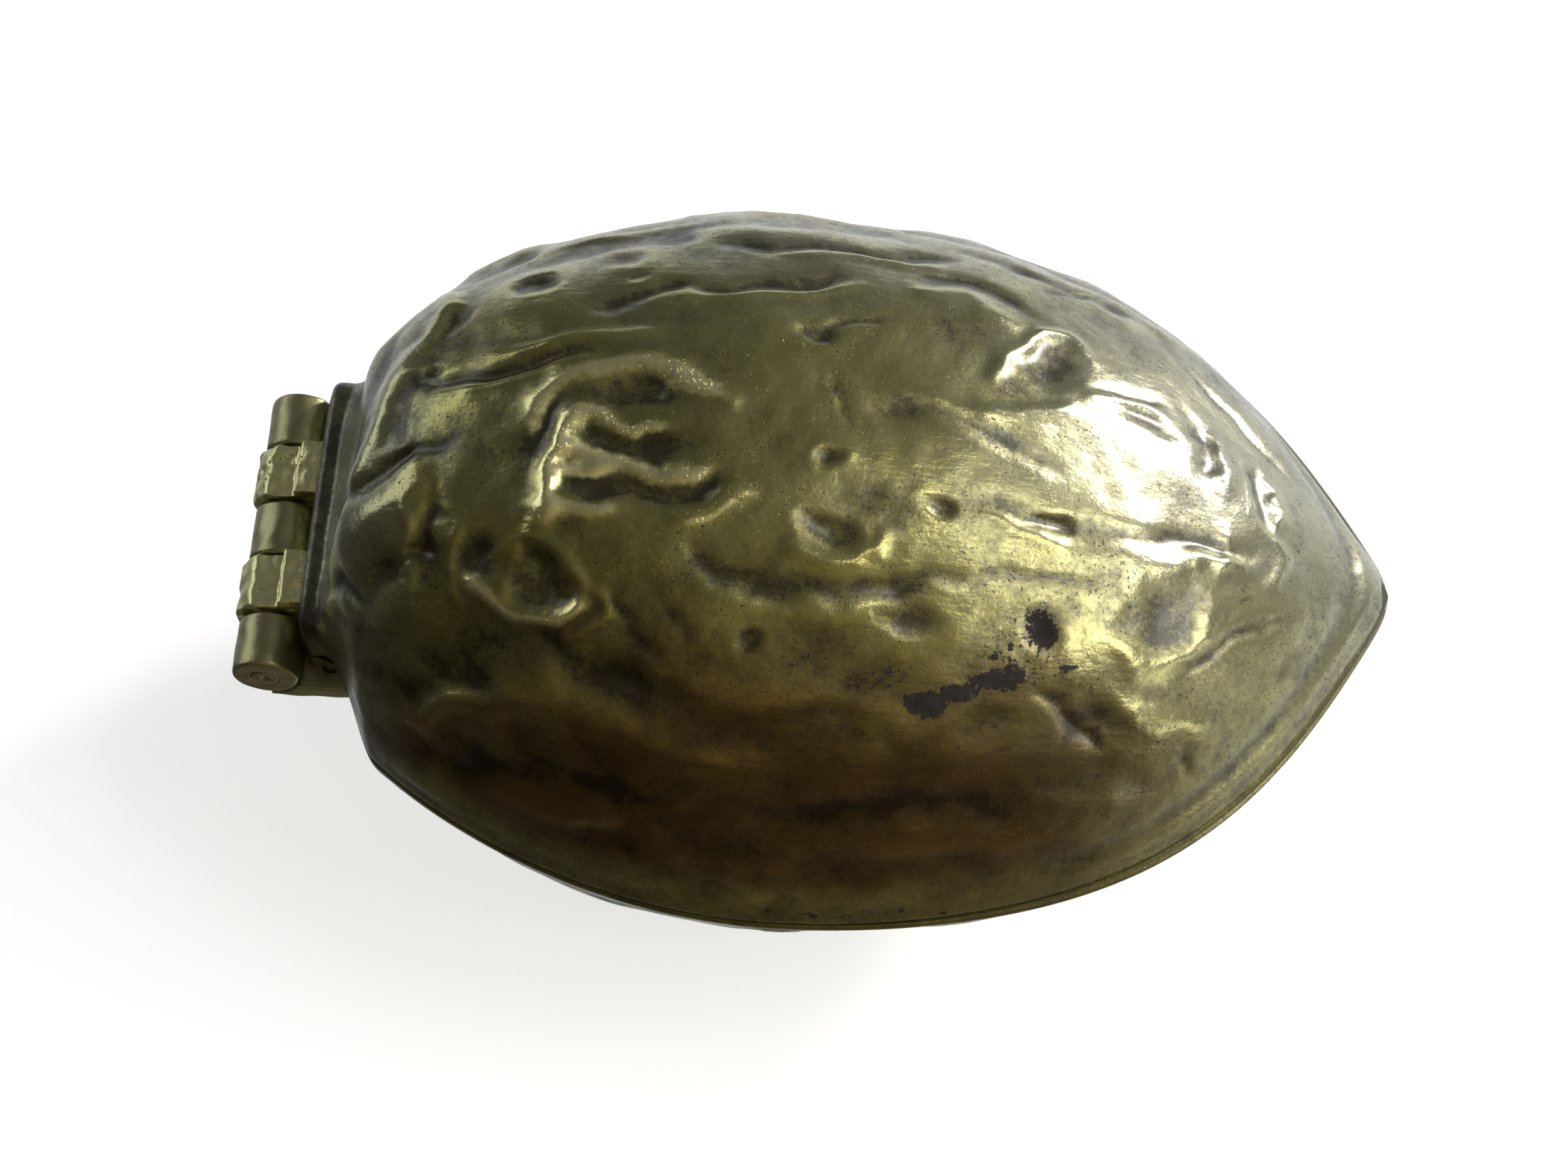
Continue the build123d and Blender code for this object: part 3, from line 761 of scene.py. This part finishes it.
# %% A worn copy of a CAD part
def worn_part(name, nodes, voxel, smoothing, dents, dent_size, seed):
    """A new mesh from one or more CAD nodes, with rounded edges and shallow dents."""
    shape = bmesh.new()
    for node in nodes:
        shape.from_mesh(frame["nodes"][node].data)
    mesh = bpy.data.meshes.new(name)
    shape.to_mesh(mesh)
    shape.free()
    piece = bpy.data.objects.new(name, mesh)
    bpy.context.scene.collection.objects.link(piece)
    remesh = piece.modifiers.new("even_mesh", "REMESH")
    remesh.mode = "VOXEL"
    remesh.voxel_size = voxel * MM
    soften = piece.modifiers.new("soften", "SMOOTH")
    soften.factor = 0.5
    soften.iterations = smoothing
    graph = bpy.context.evaluated_depsgraph_get()
    finished = bpy.data.meshes.new_from_object(piece.evaluated_get(graph))
    piece.modifiers.clear()
    piece.data = finished
    finished.name = name
    count = len(finished.vertices)
    points = np.empty(count * 3)
    finished.vertices.foreach_get("co", points)
    points = points.reshape(-1, 3) / MM
    normals = np.empty(count * 3)
    finished.vertex_normals.foreach_get("vector", normals)
    low, high = points.min(0), points.max(0)
    shift = dents * (soft_noise(points, dent_size, seed) - 0.8)
    shift = np.minimum(shift, 0)
    points = points + normals.reshape(-1, 3) * shift[:, None]
    points = np.clip(points, low, high) * MM
    finished.vertices.foreach_set("co", points.reshape(-1))
    finished.update()
    smooth_piece(piece, 80)
    return piece


for place, seed in (("far", 3), ("middle", 4), ("near", 5)):
    node = "hinge_barrel_" + place
    install(worn_part("worn_barrel_" + place, [node], 0.14, 5, 0.05, 1.6, seed),
            "lower_half", "barrel_brass", node)
for place, seed in (("far", 7), ("near", 8)):
    node = "upper_hinge_strap_" + place
    install(worn_part("worn_strap_" + place, [node], 0.14, 6, 0.12, 1.1, seed),
            "upper_half", "strap_brass", node)
install(worn_part("worn_hinge_pin", ["hinge_pin"], 0.12, 3, 0.02, 1.5, 9),
        "lower_half", "pin_brass", "hinge_pin")
install(worn_part("worn_hinge_leaf", ["lower_hinge_leaf"], 0.2, 3, 0.05, 2.0, 10),
        "lower_half", "barrel_brass", "lower_hinge_leaf")
install(worn_part("toothed_upper_jaw", ["upper_jaw"], 0.2, 3, 0.05, 2.5, 12),
        "upper_half", "jaw_brass", "upper_jaw")
install(worn_part("toothed_lower_jaw", ["lower_jaw"], 0.2, 3, 0.05, 2.5, 13),
        "lower_half", "jaw_brass", "lower_jaw")

# %% [markdown]
# ## Finishes
# Brass that has been handled for years is never one colour. Three effects are
# shared by every finish here, so each is a shader group: patina that gathers in
# hollows, pin holes from the casting, and a fine hand-rubbed grain.

# %% Helpers that add nodes
def add(tree, kind, inputs=None, **settings):
    """A node with its settings and inputs; an input may be a value or a socket."""
    node = tree.nodes.new(kind)
    for key, value in settings.items():
        setattr(node, key, value)
    for key, value in (inputs or {}).items():
        if isinstance(value, bpy.types.NodeSocket):
            tree.links.new(value, node.inputs[key])
        else:
            node.inputs[key].default_value = value
    return node


def maths(tree, operation, first, second=0.0, clamp=False):
    """One Math node; returns its output."""
    return add(tree, "ShaderNodeMath", {0: first, 1: second}, operation=operation,
               use_clamp=clamp).outputs[0]


def remap(tree, value, low, high, out_low=0.0, out_high=1.0):
    """A value taken from low..high to out_low..out_high with soft ends."""
    return add(tree, "ShaderNodeMapRange",
               {"Value": value, "From Min": low, "From Max": high, "To Min": out_low,
                "To Max": out_high}, interpolation_type="SMOOTHSTEP").outputs[0]


def blend(tree, share, first, second):
    """A colour between two others."""
    node = add(tree, "ShaderNodeMix", data_type="RGBA")
    for socket, value in ((node.inputs[0], share), (node.inputs[6], first),
                          (node.inputs[7], second)):
        if isinstance(value, bpy.types.NodeSocket):
            tree.links.new(value, socket)
        else:
            socket.default_value = value
    return node.outputs[2]


def group(name, inputs, outputs):
    """An empty shader group with named sockets: (name, default) in, names out."""
    tree = bpy.data.node_groups.new(name, "ShaderNodeTree")
    for label, default in inputs:
        socket = tree.interface.new_socket(label, in_out="INPUT",
                                           socket_type="NodeSocketFloat")
        socket.default_value = default
    for label in outputs:
        tree.interface.new_socket(label, in_out="OUTPUT", socket_type="NodeSocketFloat")
    return tree, add(tree, "NodeGroupInput").outputs, add(tree, "NodeGroupOutput").inputs


def place_of(tree):
    """The point on the object, in metres from the frame's origin."""
    return add(tree, "ShaderNodeTexCoord").outputs["Object"]


# %% [markdown]
# ## Patina
# Rubbing reaches the high places and not the hollows. The group takes the
# sculpted hollow depth and adds cloudy spots of three sizes, and gives one
# number: how polished each spot is.

# %% Patina: how polished each spot is
patina, given, result = group("patina_in_hollows", [("Hollow", 0.0), ("Mottle", 0.35),
                                                    ("Spot size", 220.0)], ["Polish"])
broad = add(patina, "ShaderNodeTexNoise", {"Vector": place_of(patina),
                                           "Scale": given["Spot size"], "Detail": 6.0,
                                           "Roughness": 0.62}).outputs[0]
small = add(patina, "ShaderNodeTexNoise", {"Vector": place_of(patina), "Scale": 1100.0,
                                           "Detail": 4.0, "Roughness": 0.65}).outputs[0]
dust = add(patina, "ShaderNodeTexNoise", {"Vector": place_of(patina), "Scale": 3600.0,
                                          "Detail": 2.0, "Roughness": 0.6}).outputs[0]
both = maths(patina, "ADD", maths(patina, "MULTIPLY", broad, 0.46),
             maths(patina, "ADD", maths(patina, "MULTIPLY", small, 0.32),
                   maths(patina, "MULTIPLY", dust, 0.22)))
uneven = maths(patina, "MULTIPLY", maths(patina, "SUBTRACT", both, 0.5), given["Mottle"])
sunk = maths(patina, "SUBTRACT", 0.55, maths(patina, "MULTIPLY", given["Hollow"], 0.5))
patina.links.new(maths(patina, "ADD", sunk, uneven, clamp=True), result["Polish"])
print(patina.name, [socket.name for socket in patina.interface.items_tree])

# %% [markdown]
# ## Pin holes
# Gas in the mould leaves pin holes in a casting. They come in clusters, so one
# noise chooses the places and a finer one makes the holes.

# %% Pin holes: dark dots with depth
pits, given, result = group("casting_pin_holes", [("Size", 1500.0), ("Amount", 0.5)],
                            ["Pit", "Height"])
specks = add(pits, "ShaderNodeTexNoise", {"Vector": place_of(pits), "Scale": given["Size"],
                                          "Detail": 2.0, "Roughness": 0.7}).outputs[0]
where = add(pits, "ShaderNodeTexNoise", {"Vector": place_of(pits), "Scale": 160.0,
                                         "Detail": 3.0}).outputs[0]
chosen = remap(pits, maths(pits, "ADD", where, given["Amount"]), 0.88, 1.12)
level = maths(pits, "SUBTRACT", specks, maths(pits, "MULTIPLY", chosen, -0.10))
pit = remap(pits, level, 0.70, 0.76)
pits.links.new(pit, result["Pit"])
pits.links.new(maths(pits, "MULTIPLY", pit, -1.0), result["Height"])
print(pits.name, [socket.name for socket in pits.interface.items_tree])

# %% [markdown]
# ## Rubbed grain
# A hand-finished casting is never quite flat. The grain is a little longer along
# the nut, the way a cloth or a palm runs over it.

# %% Rubbed grain: the uneven skin of a hand-finished casting
grain, given, result = group("rubbed_grain", [("Size", 900.0)], ["Height"])
fine = add(grain, "ShaderNodeTexNoise", {"Vector": place_of(grain), "Scale": given["Size"],
                                         "Detail": 5.0, "Roughness": 0.6}).outputs[0]
drawn = add(grain, "ShaderNodeVectorMath", {0: place_of(grain), 1: (0.12, 1.0, 1.0)},
            operation="MULTIPLY").outputs[0]
wide = add(grain, "ShaderNodeTexNoise", {"Vector": drawn, "Scale": 1800.0,
                                         "Detail": 2.0}).outputs[0]
grain.links.new(maths(grain, "ADD", fine, maths(grain, "MULTIPLY", wide, 0.7)),
                result["Height"])
print(grain.name, [socket.name for socket in grain.interface.items_tree])


# %% [markdown]
# ## The brass recipe
# Every metal here is the same recipe with its own colours: a dark colour where
# patina sits, a bright one where it is rubbed, and a roughness for each. Only
# the big castings read the sculpted hollows; small parts rely on noise.

# %% A brass material
def brass(name, dark, bright, dull, glossy, pit_size=2600.0, pit_amount=0.45,
          grain_size=900.0, bump=0.00004, mottle=0.45, metallic=0.9, hollow=False):
    """A patinated metal. dark and bright are colours, dull and glossy roughnesses."""
    material = bpy.data.materials.new(name)
    material.use_nodes = True
    tree = material.node_tree
    shader = tree.nodes["Principled BSDF"]
    shader.inputs["Metallic"].default_value = metallic
    shader.inputs["Coat Weight"].default_value = 0.5
    shader.inputs["Coat Roughness"].default_value = 0.3
    worn = add(tree, "ShaderNodeGroup", {}, node_tree=patina)
    worn.inputs["Mottle"].default_value = mottle
    if hollow:
        layer = add(tree, "ShaderNodeAttribute", attribute_name="hollow")
        tree.links.new(layer.outputs["Fac"], worn.inputs["Hollow"])
    holes = add(tree, "ShaderNodeGroup", {}, node_tree=pits)
    holes.inputs["Size"].default_value = pit_size
    holes.inputs["Amount"].default_value = pit_amount
    rubbed = add(tree, "ShaderNodeGroup", {}, node_tree=grain)
    rubbed.inputs["Size"].default_value = grain_size
    polish = worn.outputs["Polish"]
    colour = blend(tree, polish, (*dark, 1), (*bright, 1))
    soiled = blend(tree, maths(tree, "MULTIPLY", holes.outputs["Pit"], 0.8), colour,
                   (dark[0] * 0.35, dark[1] * 0.35, dark[2] * 0.35, 1))
    rough = remap(tree, polish, 0.0, 1.0, dull, glossy)
    rough = maths(tree, "ADD", rough, maths(tree, "MULTIPLY", holes.outputs["Pit"], 0.4),
                  clamp=True)
    height = maths(tree, "ADD", rubbed.outputs["Height"],
                   maths(tree, "MULTIPLY", holes.outputs["Height"], 0.3))
    relief = add(tree, "ShaderNodeBump", {"Height": height, "Distance": bump,
                                          "Strength": 1.0})
    tree.links.new(soiled, shader.inputs["Base Color"])
    tree.links.new(rough, shader.inputs["Roughness"])
    tree.links.new(relief.outputs["Normal"], shader.inputs["Normal"])
    return material, tree, shader, soiled


shell_metal, shell_tree, shell_shader, shell_colour = brass(
    "olive_shell_brass", (0.045, 0.036, 0.008), (0.37, 0.34, 0.088), 0.50, 0.20,
    mottle=3.2, pit_amount=0.52, bump=0.00006, hollow=True)
shell_shader.inputs["Coat Roughness"].default_value = 0.30
shell_shader.inputs["Coat IOR"].default_value = 1.75
strap_metal = brass("filed_strap_brass", (0.50, 0.46, 0.19), (0.95, 0.90, 0.45), 0.42, 0.25,
                    pit_amount=0.6)[0]
barrel_metal = brass("dark_barrel_brass", (0.11, 0.10, 0.04), (0.55, 0.51, 0.24), 0.45,
                     0.27)[0]
pin_metal = brass("hinge_pin_brass", (0.12, 0.10, 0.04), (0.52, 0.47, 0.22), 0.4, 0.24,
                  pit_amount=0.3)[0]
jaw_metal = brass("toothed_jaw_brass", (0.12, 0.09, 0.03), (0.56, 0.47, 0.20), 0.45, 0.28,
                  pit_amount=0.4)[0]
fastener_metal = brass("dark_fastener_steel", (0.05, 0.05, 0.05), (0.30, 0.30, 0.30), 0.5,
                       0.3, pit_amount=0.4, metallic=1.0)[0]

# %% [markdown]
# ## Painted shade on the near side
# The near slope, between the rim and the shoulder, is painted a darker reddish
# brown: painted shade for the dark room that slope reflects. The colour is blended
# there by the height and the side of the point on the casting itself.

# %% Worn strokes with painted highlight, painted sheen, black crust and painted near-side shade on the shells
spot = add(shell_tree, "ShaderNodeSeparateXYZ", {0: place_of(shell_tree)}).outputs
# This noise roughens the edges of the painted near-side shade and of the painted sheen.
painted_edge_noise = add(shell_tree, "ShaderNodeTexNoise", {"Vector": place_of(shell_tree),
                                                    "Scale": 110.0, "Detail": 4.0}).outputs[0]
wander = maths(shell_tree, "MULTIPLY", maths(shell_tree, "SUBTRACT", painted_edge_noise, 0.5), 0.02)
side_y = maths(shell_tree, "ADD", spot["Y"], wander)
near_side = remap(shell_tree, side_y, -0.015, -0.029)
above_rim = remap(shell_tree, spot["Z"], (joint_z + 3.5) * MM, (joint_z + 7.5) * MM)
short_of_tip = remap(shell_tree, spot["X"], 0.040, 0.020)
# Painted shade: on the near slope, above the rim and short of the tip, the colour is multiplied
# by a reddish brown that stands in for the dark room this slope reflects.
painted_near_shade = maths(shell_tree, "MULTIPLY", maths(shell_tree, "MULTIPLY", near_side, above_rim),
             short_of_tip)
with_near_shade = add(shell_tree, "ShaderNodeMix", data_type="RGBA", blend_type="MULTIPLY")
shell_tree.links.new(painted_near_shade, with_near_shade.inputs[0])
shell_tree.links.new(shell_colour, with_near_shade.inputs[6])
with_near_shade.inputs[7].default_value = (0.60, 0.39, 0.20, 1)
speck = add(shell_tree, "ShaderNodeTexNoise", {"Vector": place_of(shell_tree),
                                               "Scale": 1400.0, "Detail": 3.0}).outputs[0]
# The worn attribute and fine specks pick the strokes painted bright: real wear and a painted
# highlight.
wear_and_highlight_mask = add(shell_tree, "ShaderNodeAttribute", attribute_name="worn").outputs["Fac"]
wear_and_highlight_mask = remap(shell_tree, maths(shell_tree, "ADD", wear_and_highlight_mask,
                                    maths(shell_tree, "MULTIPLY", speck, 0.8)), 0.75, 1.45)
# Painted sheen: towards the tip, on the far side and at the hinge end the colour is made greyer
# and a little brighter, a painted neutral reflection of the bright room.
tip_end = remap(shell_tree, maths(shell_tree, "ADD", spot["X"], wander), 0.0, 0.04, 0, 0.75)
tip_end = maths(shell_tree, "MULTIPLY", tip_end, remap(shell_tree, side_y, -0.018, 0.006,
                                                       0.25, 1.0))
far_side = remap(shell_tree, side_y, 0.006, 0.028, 0, 0.6)
hinge_end = remap(shell_tree, spot["X"], -0.034, -0.042, 0, 0.5)
painted_sheen_share = maths(shell_tree, "MAXIMUM", maths(shell_tree, "MAXIMUM", tip_end, far_side),
                   hinge_end)
painted_sheen_grey = add(shell_tree, "ShaderNodeHueSaturation",
                 {"Saturation": 0.35, "Value": 1.05, "Color": with_near_shade.outputs[2]}).outputs[0]
with_painted_sheen = blend(shell_tree, painted_sheen_share, with_near_shade.outputs[2], painted_sheen_grey)
# Wear and painted highlight: those strokes are painted a bright cream.
worn_and_highlit = blend(shell_tree, wear_and_highlight_mask, with_painted_sheen, (0.86, 0.79, 0.36, 1))
crust_mark = add(shell_tree, "ShaderNodeAttribute", attribute_name="crust").outputs["Fac"]
ragged = add(shell_tree, "ShaderNodeTexNoise", {"Vector": place_of(shell_tree),
                                                "Scale": 1900.0, "Detail": 6.0,
                                                "Roughness": 0.75}).outputs[0]
crust_mark = remap(shell_tree, maths(shell_tree, "ADD", crust_mark,
                                     maths(shell_tree, "MULTIPLY", ragged, 2.2)), 1.62, 1.72)
crusted = blend(shell_tree, crust_mark, worn_and_highlit, (0.014, 0.008, 0.004, 1))
shell_tree.links.new(crusted, shell_shader.inputs["Base Color"])
bare = maths(shell_tree, "SUBTRACT", 1.0, crust_mark)
shell_tree.links.new(maths(shell_tree, "MULTIPLY", bare, 0.9), shell_shader.inputs["Metallic"])
shell_tree.links.new(maths(shell_tree, "MULTIPLY", bare, 0.62),
                     shell_shader.inputs["Coat Weight"])
shell_rough = shell_shader.inputs["Roughness"].links[0].from_socket
shell_tree.links.new(maths(shell_tree, "ADD", shell_rough,
                           maths(shell_tree, "MULTIPLY", crust_mark, 0.4), clamp=True),
                     shell_shader.inputs["Roughness"])

# %% [markdown]
# ## Painting
# Each finish goes on the pieces that were made of that metal. The locking pins
# and the jaw screws are plain turned parts, so they keep their CAD shapes.

# %% Paint every piece
FINISH = (
    (shell_metal, ("upper_walnut_half", "lower_walnut_half", "upper_jaw_seat",
                   "lower_jaw_seat")),
    (strap_metal, ("worn_strap_far", "worn_strap_near")),
    (barrel_metal, ("worn_barrel_far", "worn_barrel_middle", "worn_barrel_near",
                    "worn_hinge_leaf")),
    (pin_metal, ("worn_hinge_pin",)),
    (jaw_metal, ("toothed_upper_jaw", "toothed_lower_jaw")),
)
for metal, parts in FINISH:
    for part in parts:
        bpy.data.objects[part].data.materials.clear()
        bpy.data.objects[part].data.materials.append(metal)
    print(metal.name, "on", ", ".join(parts))
for name, node in frame["nodes"].items():
    if "screw" in name or name.startswith(("leaf_pin", "strap_pin")):
        for slot in node.material_slots:
            slot.material = fastener_metal
        print(name, "keeps its CAD shape in", fastener_metal.name)

# %% [markdown]
# ## The table
# A pale sheet lies under the nutcracker. The brass doesn't mirror the sheet
# itself: the room's light below the horizon stands in for it, brighter behind
# than in front, so that the near side keeps its deep colour.

# %% The pale sheet
sheet_reach = 3.0               # metres from the middle to each edge
sheet_z = -0.0002
pale = (0.86, 0.86, 0.86, 1)
corners = [(x * sheet_reach, y * sheet_reach, sheet_z)
           for x, y in ((-1, -1), (1, -1), (1, 1), (-1, 1))]
sheet_mesh = bpy.data.meshes.new("pale_sheet")
sheet_mesh.from_pydata(corners, [], [(0, 1, 2, 3)])
sheet = bpy.data.objects.new("pale_sheet", sheet_mesh)
bpy.context.scene.collection.objects.link(sheet)
sheet_paint = bpy.data.materials.new("pale_sheet_paint")
sheet_paint.use_nodes = True
matt = sheet_paint.node_tree.nodes["Principled BSDF"].inputs
matt["Base Color"].default_value = pale
matt["Roughness"].default_value = 0.9
matt["Specular IOR Level"].default_value = 0.1
matt["Emission Color"].default_value = pale
matt["Emission Strength"].default_value = 0.75
sheet_mesh.materials.append(sheet_paint)
sheet.visible_glossy = False
print("sheet of", 2 * sheet_reach, "m at", sheet_z, "m")

# %% [markdown]
# ## Light
# One window stands behind the right shoulder of the nut and gives the white
# reflection near the point. Soft panels fill the right side and the far left.

# %% Softboxes
aim = Vector((-3.0 * MM, -2.5 * MM, joint_z * MM))


def softbox(name, azimuth, elevation, distance, width, height, watts, colour=(1, 1, 1)):
    """A rectangular light. Azimuth 0 is along +X and 90 along +Y."""
    a, e = math.radians(azimuth), math.radians(elevation)
    away = Vector((math.cos(a) * math.cos(e), math.sin(a) * math.cos(e), math.sin(e)))
    light = bpy.data.lights.new(name, "AREA")
    light.shape = "RECTANGLE"
    light.size, light.size_y = width, height
    light.energy = watts
    light.color = colour
    lamp = bpy.data.objects.new(name, light)
    lamp.location = aim + away * distance
    lamp.rotation_euler = (-away).to_track_quat("-Z", "Y").to_euler()
    bpy.context.scene.collection.objects.link(lamp)
    return lamp


softbox("window", 37, 20, 0.8, 0.16, 0.13, 6.2, (1.0, 0.98, 0.99))
softbox("right_panel", -8, 36, 0.9, 0.45, 0.35, 2.2)
softbox("front_right", -24, 6, 0.9, 0.35, 0.25, 0.5)
softbox("high_right", 8, 58, 0.9, 0.28, 0.28, 0.9)
softbox("far_left", 155, 22, 0.9, 0.7, 0.5, 1.3, (0.90, 0.95, 1.0))

# %% [markdown]
# ## The room
# A bright metal shows the room around it. This one is grey behind and dark brown
# in front, lighter towards the right and overhead, and the glow of the pale
# sheet lies below the horizon.

# %% Background of the room
world = bpy.data.worlds.new("room")
bpy.context.scene.world = world
world.use_nodes = True
room = world.node_tree
direction = add(room, "ShaderNodeSeparateXYZ",
                {0: add(room, "ShaderNodeTexCoord").outputs["Generated"]}).outputs
towards_back = remap(room, direction["Y"], -0.9, 0.6)
towards_right = remap(room, direction["X"], -0.6, 0.9)
front_colour = blend(room, remap(room, direction["Z"], 0.10, 0.75), (0.050, 0.035, 0.021, 1),
                     (0.23, 0.20, 0.13, 1))
room_colour = blend(room, towards_back, front_colour, (0.13, 0.135, 0.145, 1))
room_light = add(room, "ShaderNodeMix", data_type="RGBA", blend_type="MULTIPLY")
room.links.new(room_colour, room_light.inputs[6])
room_light.inputs[0].default_value = 1.0
room.links.new(blend(room, towards_right, (0.50, 0.50, 0.52, 1), (2.2, 2.2, 2.2, 1)),
               room_light.inputs[7])
below = remap(room, direction["Z"], 0.10, -0.20)
sheet_side = remap(room, maths(room, "ADD", direction["Y"],
                               maths(room, "MULTIPLY", direction["X"], 0.6)), -0.5, 0.7)
sheet_glow = blend(room, maths(room, "MULTIPLY", below, sheet_side), (0, 0, 0, 1),
                   (0.66, 0.68, 0.70, 1))
front_glow = blend(room, maths(room, "MULTIPLY", below, remap(room, direction["X"], -0.5, 0.3)),
                   (0, 0, 0, 1), (0.055, 0.044, 0.028, 1))
glow = add(room, "ShaderNodeMix", data_type="RGBA", blend_type="ADD")
glow.inputs[0].default_value = 1.0
room.links.new(sheet_glow, glow.inputs[6])
room.links.new(front_glow, glow.inputs[7])
everything = add(room, "ShaderNodeMix", data_type="RGBA", blend_type="ADD")
everything.inputs[0].default_value = 1.0
room.links.new(room_light.outputs[2], everything.inputs[6])
room.links.new(glow.outputs[2], everything.inputs[7])
background = room.nodes["Background"]
room.links.new(everything.outputs[2], background.inputs["Color"])
background.inputs["Strength"].default_value = 1.0
bpy.context.scene.view_settings.view_transform = "Standard"
print(world.name, "uses", len(room.nodes), "nodes")

# %% [markdown]
# ## The camera
# The view is from above and in front, with the hinge at the left, through a
# slightly long lens so that the nut keeps its proportions.

# %% Camera
camera_data = bpy.data.cameras.new("camera")
camera_data.lens = 65.9
camera_data.sensor_width = 36
camera = bpy.data.objects.new("camera", camera_data)
camera.location = Vector((4.2 * MM, -128.5 * MM, 286.2 * MM))
camera.rotation_euler = (aim - camera.location).to_track_quat("-Z", "Y").to_euler()
bpy.context.scene.collection.objects.link(camera)
bpy.context.scene.camera = camera
print("camera", round(camera_data.lens, 1), "mm lens,",
      round((camera.location - aim).length / MM), "mm away")

# %% [markdown]
# ## Measure and finish
# The sculpted halves are clipped to the CAD model's box when they are cast.
# That box is printed here.

# %% Size of the CAD box
print("CAD box", [[round(v / MM, 2) for v in corner] for corner in cad_box])
